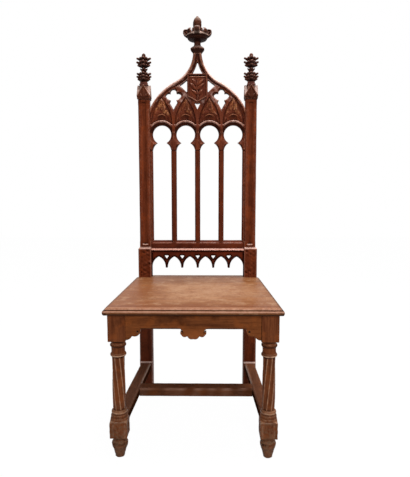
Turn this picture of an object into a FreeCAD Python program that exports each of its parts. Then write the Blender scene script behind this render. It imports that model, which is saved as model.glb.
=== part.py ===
import FreeCAD, Part
import math
import os

from FreeCAD import Vector

# Gothic oak hall chair with an open traceried back. Lengths are in millimetres.
# x runs to the right seen from the front, y to the back and z up from the floor.
# A piece with a left and a right is drawn on the right, and its partner is mirrored.

# Seat board: heights as shares of its thickness, insets as shares of the moulding
seat_height = 450.0
seat_thickness = 20.0
seat_front_width = 508.0
seat_rear_width = 469.0
seat_front_to_posts = 470.5
seat_rear_setback = 4.0
seat_moulding = 7.0
seat_overhang = 12.0
seat_edge_shares = ((0.0, 0.5), (0.12, 0.2), (0.28, 0.04), (0.42, 0.0), (0.56, 0.06),
                    (0.68, 0.25), (0.76, 0.55), (0.79, 0.95), (0.96, 0.95), (1.0, 1.08))

# Front legs, turned from square stock with two blocks left square
leg_square = 50.0
foot_height = 64.0
lower_block_height = 48.0
base_turning_height = 32.0
neck_turning_height = 47.0
top_block_height = 79.0
shaft_radius = 19.4
shaft_flute_depth = 2.6
shaft_swell = 0.7
shaft_twist_degrees = 50.0
shaft_sides = 8
shaft_steps = 6
foot_shares = ((0.49, 0.0), (0.52, 0.01, 0.54, 0.06), (0.64, 0.22, 0.77, 0.4), (0.88, 0.5, 0.94, 0.61),
               (0.93, 0.69, 0.85, 0.75), (0.72, 0.79), (0.67, 0.86, 0.74, 0.94), (0.82, 0.95), (0.82, 1.0))
block_corner_share = 1.45
base_shares = ((1.45, 0.0), (1.18, 0.06, 1.0, 0.28), (0.9, 0.31), (0.98, 0.45, 0.91, 0.58),
               (0.84, 0.63), (0.92, 0.8, 0.85, 0.95), (0.75, 1.0))
shaft_core_share = 0.5
neck_shares = ((0.75, 0.0), (0.84, 0.01), (0.93, 0.1, 0.86, 0.19), (0.8, 0.22), (0.77, 0.42, 0.8, 0.6),
               (0.85, 0.62), (0.93, 0.7, 0.87, 0.78), (0.81, 0.8), (0.84, 0.93, 0.99, 1.0), (1.45, 1.0))

# Seat frame
rail_thickness = 22.0
front_rail_depth = 41.5
rail_edge_chamfer = 3.0
bracket_reach = 43.0
bracket_drop = 31.5
bracket_shares = ((0.27, 0.92, 0.44, 0.63), (0.82, 0.6, 1.0, 0.12))
bracket_eye_radius = 3.0
bracket_eye_shares = (0.8, 0.24)
apron_half_width = 36.0
apron_drop = 28.5
apron_shares = ((0.86, 0.14), (1.02, 0.34, 0.92, 0.6), (0.72, 0.8, 0.46, 0.65), (0.32, 0.96, 0.0, 1.0))
apron_eye_radius = 3.0
apron_eye_shares = (0.9, 0.24)
side_rail_depth = 38.0
side_rail_inset = 3.0
back_rail_depth = 38.0
back_rail_thickness = 20.0
back_rail_setback = 6.5

# Tenons and their mortises
tenon_thickness = 10.0
tenon_length = 22.0
tenon_shoulder = 6.0
back_tenon_length = 18.0
mortise_relief = 1.0

# Stretchers, set as an H
stretcher_width = 37.0
stretcher_depth = 28.0
stretcher_bottom = 88.0
stretcher_chamfer = 4.0
stretcher_outer_arris = 1.0
stretcher_tenon_thickness = 12.0
stretcher_tenon_shoulder = 4.0
cross_stretcher_front = 241.0
cross_stretcher_width = 46.0
cross_tenon_length = 15.0
cross_tenon_thickness = 16.0

# Back posts, each one piece from the floor to the pinnacle
post_gap = 348.0
post_width = 48.0
post_depth = 46.0
post_block_rise = 107.0
post_weathering = 6.0
upper_post_width = 42.0
upper_post_setback = 6.0
post_rise = 183.0
post_chamfer = 4.0
leg_chamfer_stop = 16.0
upper_chamfer_stop = 22.0
flute_width = 20.0
flute_depth = 4.0
flute_bottom_rise = 11.0
flute_top_drop = 12.0
seat_line_rise = 10.0
seat_line_groove = 2.0
post_spigot = 16.0
post_spigot_length = 18.0

# Lower back rail, its ledge and the arcade board under it
back_board_thickness = 24.0
lower_rail_rise = 95.0
lower_rail_depth = 42.0
lower_rail_chamfer = 9.0
ledge_rise = 0.5
ledge_drop = 6.0
ledge_nose = 2.5
ledge_projection = 8.0
ledge_under = 4.0
lower_rail_tenon_shoulder = 5.0
arcade_thickness = 12.0
arcade_setback = 4.0
arcade_tongue = 8.0
arcade_bays = 6
pendant_width = 8.5
pendant_drop = 62.0
pendant_tip_chamfer = 2.0
arcade_springing_rise = 4.0
arcade_arch_rise = 39.0
arcade_end_strip = 2.5
spandrel_eye_width = 21.0
spandrel_eye_drop = 15.0
spandrel_eye_height = 14.0
spandrel_eye_bow = 1.5

# Mullions and the strips against the posts
lancets = 4
mullion_width = 19.5
mullion_setback = 1.0
mullion_chamfer = 5.0
mullion_back_chamfer = 2.5
mullion_tenon_thickness = 8.0
mullion_tenon_length = 12.0
mullion_tenon_inset = 5.0
strip_width = 8.75

# Tracery head, cut and carved from one board: rises are over its own bottom edge
head_rise = 334.0
upper_circle_rise = 57.5
lower_circle_drop = 2.5
opening_splay = 11.0
lower_splay = 5.0
bead_width = 5.0
bead_gap = 0.5
bead_relief = 2.5
panel_rib = 8.5
panel_springing_rise = 89.0
panel_apex_rise = 191.0
panel_sinking = 7.0
ogee_plumb_rise = 352.0
ogee_shoulder_radius = 212.5
ogee_shoulder_bulge = 22.45
ogee_sweep_radius = 118.7
stem_half_width = 14.9
stem_rise = 345.0
ogee_band = 19.0
ogee_fillet = 0.8
ogee_roll_radius = 4.2
ogee_hollow_radius = 4.0
ogee_hollow_inset = 14.0
sub_arch_radius = 205.0
sub_arch_meeting_rise = 232.3
centre_eye_rise = 147.0
centre_eye_height = 25.0
centre_eye_dip = 4.0
cross_rise = 219.5
cross_height = 72.5
cross_half_span = 28.5
cross_sinking = 4.0
cross_sinking_share = 1.22
cross_shares = ((0.38, -0.13, 0.34, -0.225), (0.62, -0.2, 1.0, -0.31), (0.72, -0.47, 0.33, -0.535),
                (0.5, -0.66), (0.24, -0.82, 0.0, -1.0))
side_eye_gap = 2.0
head_tenon_thickness = 10.0
head_tenon_length = 14.0
head_tenon_rise = 39.0
head_tenon_width = 90.0

# Shield, glued on the face of the tracery
shield_half_width = 35.5
shield_drop = 73.5
shield_height = 100.0
shield_point_height = 20.5
shield_thickness = 9.0
shield_rim = 4.0
shield_field_sinking = 3.0

# Crest finial over the ogee: radii and heights as shares of its own sizes
crest_collar_radius = 25.0
crest_collar_height = 24.0
crest_sides = 8
crest_collar_shares = ((0.6, 0.0), (0.74, 0.22), (0.97, 0.55), (1.0, 0.68), (0.82, 0.86), (0.6, 1.0))
crest_bowl_radius = 36.0
crest_bowl_height = 54.0
crest_bowl_shares = ((0.42, 0.0), (0.34, 0.08, 0.33, 0.18), (0.37, 0.31), (0.55, 0.37), (0.9, 0.43),
                     (0.98, 0.5, 1.0, 0.62), (1.0, 0.9), (0.93, 1.0), (0.42, 1.0))
crest_leaf_reach = 52.0
crest_leaf_width = 22.0
crest_leaf_rise = 13.0
crest_leaf_height = 48.0
crest_leaf_shares = ((0.5, 0.19), (0.68, 0.22), (0.76, 0.3), (0.865, 0.44), (0.94, 0.55, 0.98, 0.68),
                     (1.0, 0.82, 0.95, 1.0), (0.82, 1.01, 0.74, 0.88), (0.68, 0.72, 0.5, 0.64))
crest_spigot_radius = 5.0
crest_spigot_length = 20.0
bud_radius = 15.5
bud_height = 53.0
bud_shares = ((0.62, 0.0), (0.97, 0.15), (1.03, 0.38, 0.97, 0.62), (0.78, 0.68), (0.6, 0.82, 0.34, 0.93),
              (0.0, 1.0))
bud_spigot_radius = 4.0
bud_spigot_length = 12.0

# Gabled caps and leafy finials on the posts
cap_width = 49.0
cap_eaves = 12.0
cap_height = 52.0
cap_kneeler_height = 8.0
cap_kneeler_setback = 1.0
finial_stem_width = 26.0
finial_stem_sides = 4
finial_stem_shares = ((0.65, 0.0), (0.5, 0.04), (0.5, 0.125))
finial_height = 113.0
finial_leaf_thickness = 9.0
finial_reach = 26.0
finial_spigot_radius = 5.0
finial_spigot_length = 14.0
finial_core_shares = ((0.36, 0.0), (0.36, 0.42), (0.46, 0.46), (0.47, 0.52), (0.36, 0.56), (0.36, 0.75),
                      (0.3, 0.88), (0.31, 0.93), (0.2, 0.98), (0.0, 1.0))
leaf_tier_shares = ((0.3, 0.0), (0.78, 0.29), (0.52, 0.35), (1.0, 0.62), (0.56, 0.68), (0.9, 0.96),
                    (0.4, 0.86), (0.22, 0.95))
leaf_tiers_shares = ((0.1, 0.31), (0.584, 0.283))

# Corner blocks and the screws that hold the seat
corner_block_height = 22.0
corner_block_reach = 42.0
corner_block_side = 36.0
screw_length = 34.0
screw_shank_radius = 2.1
screw_head_radius = 4.2
screw_head_height = 3.0
screw_hole_gap = 0.15
screw_inset = 22.0

# One overrun serves every cut
overrun = 5.0

# Places that follow from the sizes above
under_seat = seat_height - seat_thickness
leg_half = leg_square / 2
leg_outer = seat_front_width / 2 - seat_overhang
leg_inner = leg_outer - leg_square
leg_front = seat_overhang
leg_back = leg_front + leg_square
leg_x = leg_outer - leg_half
leg_y = leg_front + leg_half
post_inner = post_gap / 2
post_outer = post_inner + post_width
post_front = seat_front_to_posts
post_back = post_front + post_depth
post_x = post_inner + post_width / 2
upper_front = post_front + upper_post_setback
upper_back = post_back - upper_post_setback
upper_outer = post_inner + upper_post_width
upper_x = post_inner + upper_post_width / 2
post_block_top = seat_height + post_block_rise
upper_bottom = post_block_top + post_weathering
back_y = (upper_front + upper_back) / 2
board_front = back_y - back_board_thickness / 2
board_back = back_y + back_board_thickness / 2
lower_rail_bottom = seat_height + lower_rail_rise
lower_rail_top = lower_rail_bottom + lower_rail_depth
pendant_tip = lower_rail_bottom - pendant_drop
arcade_springing = pendant_tip + arcade_springing_rise
spandrel_eye_top = lower_rail_bottom - spandrel_eye_drop
arcade_pitch = (post_gap - 2 * arcade_end_strip + pendant_width) / arcade_bays
arcade_start = arcade_end_strip - pendant_width / 2 - post_inner
head_bottom = lower_rail_top + head_rise
upper_circle_height = head_bottom + upper_circle_rise
stem_top = head_bottom + stem_rise
centre_eye_bottom = head_bottom + centre_eye_rise
centre_eye_top = centre_eye_bottom + centre_eye_height
cross_top = head_bottom + cross_rise
shield_top = stem_top - shield_drop
shield_tip = shield_top - shield_height
post_top = head_bottom + post_rise
opening_width = (post_gap - 2 * strip_width - (lancets - 1) * mullion_width) / lancets
opening_half = opening_width / 2
lancet_pitch = opening_width + mullion_width
bead_radius = opening_half + opening_splay + bead_gap + bead_width
shaft_bottom = foot_height + lower_block_height + base_turning_height
shaft_top = under_seat - top_block_height - neck_turning_height
shaft_length = shaft_top - shaft_bottom
rail_bottom = under_seat - front_rail_depth
stretcher_top = stretcher_bottom + stretcher_depth
crest_bowl_bottom = stem_top + crest_collar_height
crest_rim = crest_bowl_bottom + crest_bowl_height
whole_depth = back_y + crest_leaf_reach
frame_shift = Vector(0, -whole_depth / 2, 0)


def block(x0, x1, y0, y1, z0, z1):
    return Part.makeBox(x1 - x0, y1 - y0, z1 - z0, Vector(x0, y0, z0))


def edges_through(points, place):
    # A point of two numbers is reached by a line, one of four by an arc through its first two
    edges = []
    here = points[0]
    for step in points[1:]:
        start = place(here[-2], here[-1])
        end = place(step[-2], step[-1])
        if len(step) == 4:
            edges.append(Part.Arc(start, place(step[0], step[1]), end).toShape())
        else:
            edges.append(Part.LineSegment(start, end).toShape())
        here = step
    return edges


def closed(points):
    # The outline with its first point added at the end, unless it ends there already
    first = points[0][-2:]
    last = points[-1][-2:]
    if math.hypot(first[0] - last[0], first[1] - last[1]) < mortise_relief / 10:
        return list(points)
    return list(points) + [first]


def face_in_front_view(points):
    return Part.Face(Part.Wire(edges_through(closed(points), lambda x, z: Vector(x, 0, z))))


def face_in_plan(points):
    return Part.Face(Part.Wire(edges_through(closed(points), lambda x, y: Vector(x, y, 0))))


def slab(points, front, back):
    shape = face_in_front_view(points).extrude(Vector(0, back - front, 0))
    shape.translate(Vector(0, front, 0))
    return shape


def upright(points, bottom, top):
    shape = face_in_plan(points).extrude(Vector(0, 0, top - bottom))
    shape.translate(Vector(0, 0, bottom))
    return shape


def both_halves(right_half):
    # The right half runs from its first point to a last one on the middle line
    points = list(right_half)
    for index in range(len(right_half) - 1, 0, -1):
        step = right_half[index]
        x, z = right_half[index - 1][-2:]
        if len(step) == 4:
            points.append((-step[0], step[1], -x, z))
        elif x != 0:
            points.append((-x, z))
    return points


def from_shares(shares, across, up, height):
    points = []
    for share in shares:
        if len(share) == 4:
            points.append((share[0] * across, up + share[1] * height,
                           share[2] * across, up + share[3] * height))
        else:
            points.append((share[0] * across, up + share[1] * height))
    return points


def turned(points, x, y):
    # Points are radius and height, and the piece is solid to its axis
    outline = list(points)
    if outline[-1][-2] != 0:
        outline.append((0, outline[-1][-1]))
    if outline[0][-2] != 0:
        outline.append((0, outline[0][-1]))
    face = Part.Face(Part.Wire(edges_through(closed(outline), lambda r, z: Vector(r, 0, z))))
    shape = face.revolve(Vector(0, 0, 0), Vector(0, 0, 1), 360)
    shape.translate(Vector(x, y, 0))
    return shape


def ring_wire(radius, sides, x, y, z):
    # A regular polygon with a flat side to the front, measured across its flats
    corner = radius / math.cos(math.pi / sides)
    points = []
    for index in range(sides + 1):
        angle = 2 * math.pi * (index + 0.5) / sides
        points.append(Vector(x + corner * math.cos(angle), y + corner * math.sin(angle), z))
    return Part.makePolygon(points)


def mirror(shape):
    return shape.mirror(Vector(0, 0, 0), Vector(1, 0, 0))


def cylinder(radius, x, y, bottom, top):
    return Part.makeCylinder(radius, top - bottom, Vector(x, y, bottom))


def fused(shapes):
    return shapes[0].fuse(shapes[1:]).removeSplitter()


# Seat frame lines: the outer face of a side rail runs from the leg to the post
def side_rail_outer(y):
    at_leg = leg_outer - side_rail_inset
    at_post = post_outer - side_rail_inset
    return at_leg + (at_post - at_leg) * (y - leg_back) / (post_front - leg_back)


def stretcher_centre(y):
    return leg_x + (post_x - leg_x) * (y - leg_back) / (post_front - leg_back)


# Tenons are drawn once: a piece carries one, and its partner is cut with it, a relief longer
def front_rail_tenon(relief):
    middle = leg_front + rail_thickness / 2
    return block(leg_inner - overrun, leg_inner + tenon_length + relief, middle - tenon_thickness / 2,
                 middle + tenon_thickness / 2, rail_bottom - bracket_drop / 2, under_seat - tenon_shoulder)


def side_rail_front_tenon(relief):
    middle = side_rail_outer(leg_back) - rail_thickness / 2
    return block(middle - tenon_thickness / 2, middle + tenon_thickness / 2,
                 leg_back - tenon_length - relief, leg_back + overrun,
                 under_seat - side_rail_depth + tenon_shoulder, under_seat - tenon_shoulder)


def side_rail_back_tenon(relief):
    middle = side_rail_outer(post_front) - rail_thickness / 2
    return block(middle - tenon_thickness / 2, middle + tenon_thickness / 2,
                 post_front - overrun, post_front + back_tenon_length + relief,
                 under_seat - side_rail_depth + tenon_shoulder, under_seat - tenon_shoulder)


def back_rail_tenon(relief):
    middle = post_back - back_rail_setback - back_rail_thickness / 2
    return block(post_inner - overrun, post_inner + back_tenon_length + relief,
                 middle - tenon_thickness / 2, middle + tenon_thickness / 2,
                 under_seat - back_rail_depth + tenon_shoulder, under_seat - tenon_shoulder)


def stretcher_front_tenon(relief):
    middle = stretcher_centre(leg_back)
    return block(middle - stretcher_tenon_thickness / 2, middle + stretcher_tenon_thickness / 2,
                 leg_back - tenon_length - relief, leg_back + overrun,
                 stretcher_bottom + stretcher_tenon_shoulder, stretcher_top - stretcher_tenon_shoulder)


def stretcher_back_tenon(relief):
    middle = stretcher_centre(post_front)
    return block(middle - stretcher_tenon_thickness / 2, middle + stretcher_tenon_thickness / 2,
                 post_front - overrun, post_front + back_tenon_length + relief,
                 stretcher_bottom + stretcher_tenon_shoulder, stretcher_top - stretcher_tenon_shoulder)


def cross_tenon(relief):
    middle = cross_stretcher_front + cross_stretcher_width / 2
    inner = stretcher_centre(middle) - stretcher_width / 2
    return block(inner - overrun, inner + cross_tenon_length + relief, middle - cross_tenon_thickness / 2,
                 middle + cross_tenon_thickness / 2, stretcher_bottom + stretcher_tenon_shoulder,
                 stretcher_top - stretcher_tenon_shoulder)


def lower_rail_tenon(relief):
    return block(post_inner - overrun, post_inner + back_tenon_length + relief,
                 back_y - tenon_thickness / 2, back_y + tenon_thickness / 2,
                 lower_rail_bottom + lower_rail_tenon_shoulder, lower_rail_top - lower_rail_tenon_shoulder)


def head_tenon(relief):
    return block(post_inner - overrun, post_inner + head_tenon_length + relief,
                 back_y - head_tenon_thickness / 2, back_y + head_tenon_thickness / 2,
                 head_bottom + head_tenon_rise, head_bottom + head_tenon_rise + head_tenon_width)


def mullion_tenons(x, relief):
    length = mullion_tenon_length + relief
    half = mullion_tenon_thickness / 2
    front = board_front + mullion_tenon_inset + lower_rail_chamfer / 2
    back = board_back - mullion_tenon_inset
    bottom = block(x - half, x + half, front, back, lower_rail_top - length, lower_rail_top + overrun)
    top = block(x - half, x + half, front, back, head_bottom - overrun, head_bottom + length)
    return bottom, top


def post_spigot_block(relief):
    half = post_spigot / 2
    return block(upper_x - half, upper_x + half, back_y - half, back_y + half, post_top - overrun,
                 post_top + post_spigot_length + relief)


def round_spigot(radius, x, y, top, length, relief):
    return cylinder(radius, x, y, top - length - relief, top + overrun)


def leg_turning():
    corner = block_corner_share * leg_half
    points = from_shares(foot_shares, leg_half, 0, foot_height)
    points.append((corner, foot_height))
    points += from_shares(base_shares, leg_half, foot_height + lower_block_height, base_turning_height)
    points.append((shaft_core_share * leg_half, shaft_bottom))
    points.append((shaft_core_share * leg_half, shaft_top))
    points += from_shares(neck_shares, leg_half, shaft_top, neck_turning_height)
    points.append((corner, under_seat))
    return turned(points, leg_x, leg_y)


def shaft_section(height, angle, radius):
    edges = []
    hollow = radius - shaft_flute_depth
    for side in range(shaft_sides):
        first = angle + 2 * math.pi * side / shaft_sides
        middle = first + math.pi / shaft_sides
        last = first + 2 * math.pi / shaft_sides
        spots = []
        for turn, reach in ((first, radius), (middle, hollow), (last, radius)):
            spots.append(Vector(leg_x + reach * math.cos(turn), leg_y + reach * math.sin(turn), height))
        edges.append(Part.Arc(spots[0], spots[1], spots[2]).toShape())
    return Part.Wire(edges)


def twisted_shaft():
    sections = []
    for step in range(shaft_steps + 1):
        share = step / shaft_steps
        angle = math.radians(shaft_twist_degrees) * (share - 0.5)
        radius = shaft_radius - shaft_swell + shaft_swell * math.sin(math.pi * share)
        sections.append(shaft_section(shaft_bottom + share * shaft_length, angle, radius))
    return Part.makeLoft(sections, True, True)


def front_leg():
    stock = block(leg_inner, leg_outer, leg_front, leg_back, 0, under_seat)
    shape = stock.common(leg_turning()).fuse(twisted_shaft())
    for cutter in (front_rail_tenon(mortise_relief), side_rail_front_tenon(mortise_relief),
                   stretcher_front_tenon(mortise_relief)):
        shape = shape.cut(cutter)
    return shape.removeSplitter()


def seat_section(inset, height):
    front = inset
    rear = post_front
    slope = (seat_rear_width - seat_front_width) / 2 / post_front
    at_front = seat_front_width / 2 - inset + slope * front
    at_rear = seat_front_width / 2 - inset + slope * rear
    corners = ((-at_front, front), (at_front, front), (at_rear, rear), (-at_rear, rear), (-at_front, front))
    return Part.makePolygon([Vector(x, y, height) for x, y in corners])


def seat_board():
    sections = []
    for rise, inset in seat_edge_shares:
        sections.append(seat_section(inset * seat_moulding, under_seat + rise * seat_thickness))
    board = Part.makeLoft(sections, True, True)
    tongue = block(-post_inner, post_inner, post_front, post_back - seat_rear_setback,
                   under_seat, seat_height)
    board = fused([board, tongue])
    radius = screw_shank_radius + screw_hole_gap
    top = under_seat - corner_block_height + screw_length + screw_hole_gap
    for x, y in screw_places():
        for side in (1, -1):
            board = board.cut(cylinder(radius, side * x, y, under_seat - overrun, top))
    return board


def bracket_points():
    points = [(leg_inner, rail_bottom - bracket_drop)]
    for step in bracket_shares:
        spots = []
        for u, v in (step[:2], step[2:]):
            spots += [leg_inner - u * bracket_reach, rail_bottom - v * bracket_drop]
        points.append(tuple(spots))
    points.append((leg_inner - bracket_reach, rail_bottom))
    return points


def apron_points():
    points = []
    for step in apron_shares:
        spots = []
        for index in range(0, len(step), 2):
            spots += [step[index] * apron_half_width, rail_bottom - step[index + 1] * apron_drop]
        points.append(tuple(spots))
    return points


def front_rail():
    half = [(0, under_seat), (leg_inner, under_seat)] + bracket_points()
    half.append((apron_half_width, rail_bottom))
    half += apron_points()
    right = slab(half, leg_front, leg_front + rail_thickness)
    straight = leg_inner - bracket_reach - apron_half_width
    edge = Part.makePolygon([Vector(apron_half_width, leg_front, rail_bottom),
                             Vector(apron_half_width, leg_front + rail_edge_chamfer, rail_bottom),
                             Vector(apron_half_width, leg_front, rail_bottom + rail_edge_chamfer),
                             Vector(apron_half_width, leg_front, rail_bottom)])
    right = right.cut(Part.Face(edge).extrude(Vector(straight, 0, 0)))
    eyes = ((leg_inner - bracket_eye_shares[0] * bracket_reach,
             rail_bottom - bracket_eye_shares[1] * bracket_drop, bracket_eye_radius),
            (apron_eye_shares[0] * apron_half_width,
             rail_bottom - apron_eye_shares[1] * apron_drop, apron_eye_radius))
    for x, z, radius in eyes:
        right = right.cut(Part.makeCylinder(radius, rail_thickness + 2 * overrun,
                                            Vector(x, leg_front - overrun, z), Vector(0, 1, 0)))
    right = right.fuse(front_rail_tenon(0))
    return fused([right, mirror(right)])


def between_leg_and_post():
    return block(0, leg_outer, leg_back, post_front, 0, seat_height)


def side_rail():
    inner_front = side_rail_outer(leg_back) - rail_thickness
    inner_back = side_rail_outer(post_front) - rail_thickness
    plan = [(inner_front, leg_back), (side_rail_outer(leg_back), leg_back),
            (side_rail_outer(post_front), post_front), (inner_back, post_front)]
    rail = upright(plan, under_seat - side_rail_depth, under_seat)
    between = between_leg_and_post()
    front = side_rail_front_tenon(0).cut(between)
    back = side_rail_back_tenon(0).cut(between)
    return fused([rail, front, back])


def back_seat_rail():
    front = post_back - back_rail_setback - back_rail_thickness
    rail = block(-post_inner, post_inner, front, front + back_rail_thickness, under_seat - back_rail_depth,
                 under_seat)
    tenon = back_rail_tenon(0)
    return fused([rail, tenon, mirror(tenon)])


def side_stretcher():
    half = stretcher_width / 2
    section = [(-half, stretcher_bottom), (half, stretcher_bottom),
               (half, stretcher_top - stretcher_outer_arris),
               (half - stretcher_outer_arris, stretcher_top), (stretcher_chamfer - half, stretcher_top),
               (-half, stretcher_top - stretcher_chamfer)]
    wires = []
    for y in (leg_back, post_front):
        spots = [Vector(stretcher_centre(y) + x, y, z) for x, z in section]
        wires.append(Part.makePolygon(spots + [spots[0]]))
    bar = Part.makeLoft(wires, True, True)
    between = between_leg_and_post()
    front = stretcher_front_tenon(0).cut(between)
    back = stretcher_back_tenon(0).cut(between)
    bar = fused([bar, front, back])
    return bar.cut(cross_tenon(mortise_relief))


def cross_stretcher():
    back = cross_stretcher_front + cross_stretcher_width
    half = stretcher_width / 2
    at_front = stretcher_centre(cross_stretcher_front) - half
    at_back = stretcher_centre(back) - half
    bar = upright([(-at_front, cross_stretcher_front), (at_front, cross_stretcher_front), (at_back, back),
                   (-at_back, back)], stretcher_bottom, stretcher_top)
    reach = leg_outer + overrun
    for near, inward in ((cross_stretcher_front, 1), (back, -1)):
        spots = [Vector(-reach, near - inward * overrun, stretcher_top - stretcher_chamfer - overrun),
                 Vector(-reach, near - inward * overrun, stretcher_top + overrun),
                 Vector(-reach, near + inward * (stretcher_chamfer + overrun), stretcher_top + overrun)]
        wedge = Part.Face(Part.makePolygon(spots + [spots[0]])).extrude(Vector(2 * reach, 0, 0))
        bar = bar.cut(wedge)
    tenon = cross_tenon(0)
    return fused([bar, tenon, mirror(tenon)])


def corner_prism(x, y, toward_x, toward_y, size, bottom, top):
    # A triangular prism that takes an arris off a post at the corner x, y
    outer_x = x - toward_x * overrun
    outer_y = y - toward_y * overrun
    reach = size + overrun
    points = [(outer_x, outer_y), (x + toward_x * reach, outer_y), (outer_x, y + toward_y * reach)]
    return upright(points, bottom, top)


def back_post():
    leg = block(post_inner, post_outer, post_front, post_back, 0, post_block_top)
    lower = [(post_inner, post_front), (post_outer, post_front), (post_outer, post_back),
             (post_inner, post_back)]
    upper = [(post_inner, upper_front), (upper_outer, upper_front), (upper_outer, upper_back),
             (post_inner, upper_back)]
    wires = []
    for corners, height in ((lower, post_block_top), (upper, upper_bottom)):
        spots = [Vector(x, y, height) for x, y in corners]
        wires.append(Part.makePolygon(spots + [spots[0]]))
    weathering = Part.makeLoft(wires, True, True)
    shaft = block(post_inner, upper_outer, upper_front, upper_back, upper_bottom, post_top)
    post = fused([leg, weathering, shaft, post_spigot_block(0)])
    for x, toward in ((post_inner, 1), (post_outer, -1)):
        post = post.cut(corner_prism(x, post_front, toward, 1, post_chamfer,
                                     stretcher_top + leg_chamfer_stop,
                                     under_seat - side_rail_depth - leg_chamfer_stop))
    low = upper_bottom + upper_chamfer_stop
    high = post_top - upper_chamfer_stop
    for x, toward in ((post_inner, 1), (upper_outer, -1)):
        for y, inward in ((upper_front, 1), (upper_back, -1)):
            post = post.cut(corner_prism(x, y, toward, inward, post_chamfer, low, high))
    flute_radius = (flute_width ** 2 / 4 + flute_depth ** 2) / (2 * flute_depth)
    flute_axis = upper_front + flute_depth - flute_radius
    post = post.cut(cylinder(flute_radius, upper_x, flute_axis, upper_bottom + flute_bottom_rise,
                             post_top - flute_top_drop))
    line = seat_height + seat_line_rise
    post = post.cut(block(post_inner - overrun, post_outer + overrun, post_front - overrun,
                          post_front + seat_line_groove, line, line + seat_line_groove))
    for cutter in (side_rail_back_tenon(mortise_relief), back_rail_tenon(mortise_relief),
                   stretcher_back_tenon(mortise_relief), lower_rail_tenon(mortise_relief),
                   head_tenon(mortise_relief)):
        post = post.cut(cutter)
    return post


def lower_back_rail():
    nose = board_front - ledge_projection
    ledge_foot = lower_rail_bottom + ledge_rise
    nose_bottom = ledge_foot + ledge_under
    nose_top = nose_bottom + ledge_nose
    section = [(board_back, lower_rail_bottom), (board_back, lower_rail_top),
               (board_front + lower_rail_chamfer, lower_rail_top),
               (board_front, lower_rail_top - lower_rail_chamfer), (board_front, nose_top + ledge_drop),
               (nose, nose_top), (nose, nose_bottom), (board_front, ledge_foot),
               (board_front, lower_rail_bottom)]
    spots = [Vector(-post_inner, y, z) for y, z in section]
    rail = Part.Face(Part.makePolygon(spots + [spots[0]])).extrude(Vector(post_gap, 0, 0))
    tenon = lower_rail_tenon(0)
    rail = fused([rail, tenon, mirror(tenon)])
    rail = rail.cut(block(-post_inner, post_inner, board_front + arcade_setback,
                          board_front + arcade_setback + arcade_thickness, lower_rail_bottom - overrun,
                          lower_rail_bottom + arcade_tongue))
    for x in mullion_places():
        rail = rail.cut(mullion_tenons(x, mortise_relief)[0])
    return rail


def pointed_arch(centre, half, bottom, springing, rise):
    crown = springing + rise
    radius = (half ** 2 + rise ** 2) / (2 * half)
    lift = math.sqrt(radius ** 2 - (radius - half / 2) ** 2)
    return [(centre - half, bottom), (centre + half, bottom), (centre + half, springing),
            (centre + half / 2, springing + lift, centre, crown),
            (centre - half / 2, springing + lift, centre - half, springing)]


def arcade_valance():
    front = board_front + arcade_setback
    back = front + arcade_thickness
    board = block(-post_inner, post_inner, front, back, seat_height, lower_rail_bottom + arcade_tongue)
    half = (arcade_pitch - pendant_width) / 2
    strip_edge = post_inner - arcade_end_strip
    for bay in range(arcade_bays):
        centre = arcade_start + (bay + 0.5) * arcade_pitch
        arch = slab(pointed_arch(centre, half, seat_height - overrun, arcade_springing,
                                 arcade_arch_rise), front - overrun, back + overrun)
        board = board.cut(arch)
    board = board.cut(block(-strip_edge, strip_edge, front - overrun, back + overrun, seat_height - overrun,
                            pendant_tip))
    for joint in range(1, arcade_bays):
        x = arcade_start + joint * arcade_pitch
        top = spandrel_eye_top
        low = top - spandrel_eye_height
        wide = spandrel_eye_width / 2
        middle = (top + low) / 2
        eye = [(x - wide, top), (x + wide, top), (x + wide / 2 - spandrel_eye_bow, middle, x, low),
               (x - wide / 2 + spandrel_eye_bow, middle, x - wide, top)]
        board = board.cut(slab(eye, front - overrun, back + overrun))
        for side in (1, -1):
            tip = [(x + side * (pendant_width / 2 - pendant_tip_chamfer), pendant_tip),
                   (x + side * pendant_width / 2, pendant_tip),
                   (x + side * pendant_width / 2, pendant_tip + pendant_tip_chamfer)]
            board = board.cut(slab(tip, front - overrun, back + overrun))
    return board


def mullion_places():
    return [(index - (lancets - 2) / 2) * lancet_pitch for index in range(lancets - 1)]


def lancet_places():
    return [(index - (lancets - 1) / 2) * lancet_pitch for index in range(lancets)]


def mullion(x, rail):
    half = mullion_width / 2
    front = board_front + mullion_setback
    back = board_back - mullion_setback
    plan = [(x - half, front + mullion_chamfer), (x - half + mullion_chamfer, front),
            (x + half - mullion_chamfer, front), (x + half, front + mullion_chamfer),
            (x + half, back - mullion_back_chamfer), (x + half - mullion_back_chamfer, back),
            (x - half + mullion_back_chamfer, back), (x - half, back - mullion_back_chamfer)]
    bar = upright(plan, lower_rail_top - lower_rail_chamfer, head_bottom).cut(rail)
    between = block(x - half, x + half, board_front, board_back, lower_rail_top, head_bottom)
    bottom, top = mullion_tenons(x, 0)
    standing = max(bar.Solids, key=lambda solid: solid.Volume)
    return fused([standing, bottom.cut(between), top.cut(between)])


def back_strip(rail):
    front = board_front + mullion_setback
    back = board_back - mullion_setback
    inner = post_inner - strip_width
    plan = [(inner, front + mullion_chamfer), (inner + mullion_chamfer, front), (post_inner, front),
            (post_inner, back), (inner, back)]
    bar = upright(plan, lower_rail_top - lower_rail_chamfer, head_bottom).cut(rail)
    return max(bar.Solids, key=lambda solid: solid.Volume)


def ogee_centres():
    # The round shoulder would bulge past the post's inner face, and it touches the hollow sweep
    upper = (stem_half_width + ogee_sweep_radius, head_bottom + ogee_plumb_rise)
    lower_x = post_inner + ogee_shoulder_bulge - ogee_shoulder_radius
    apart = ogee_shoulder_radius + ogee_sweep_radius
    return (lower_x, upper[1] - math.sqrt(apart ** 2 - (upper[0] - lower_x) ** 2)), upper


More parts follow.
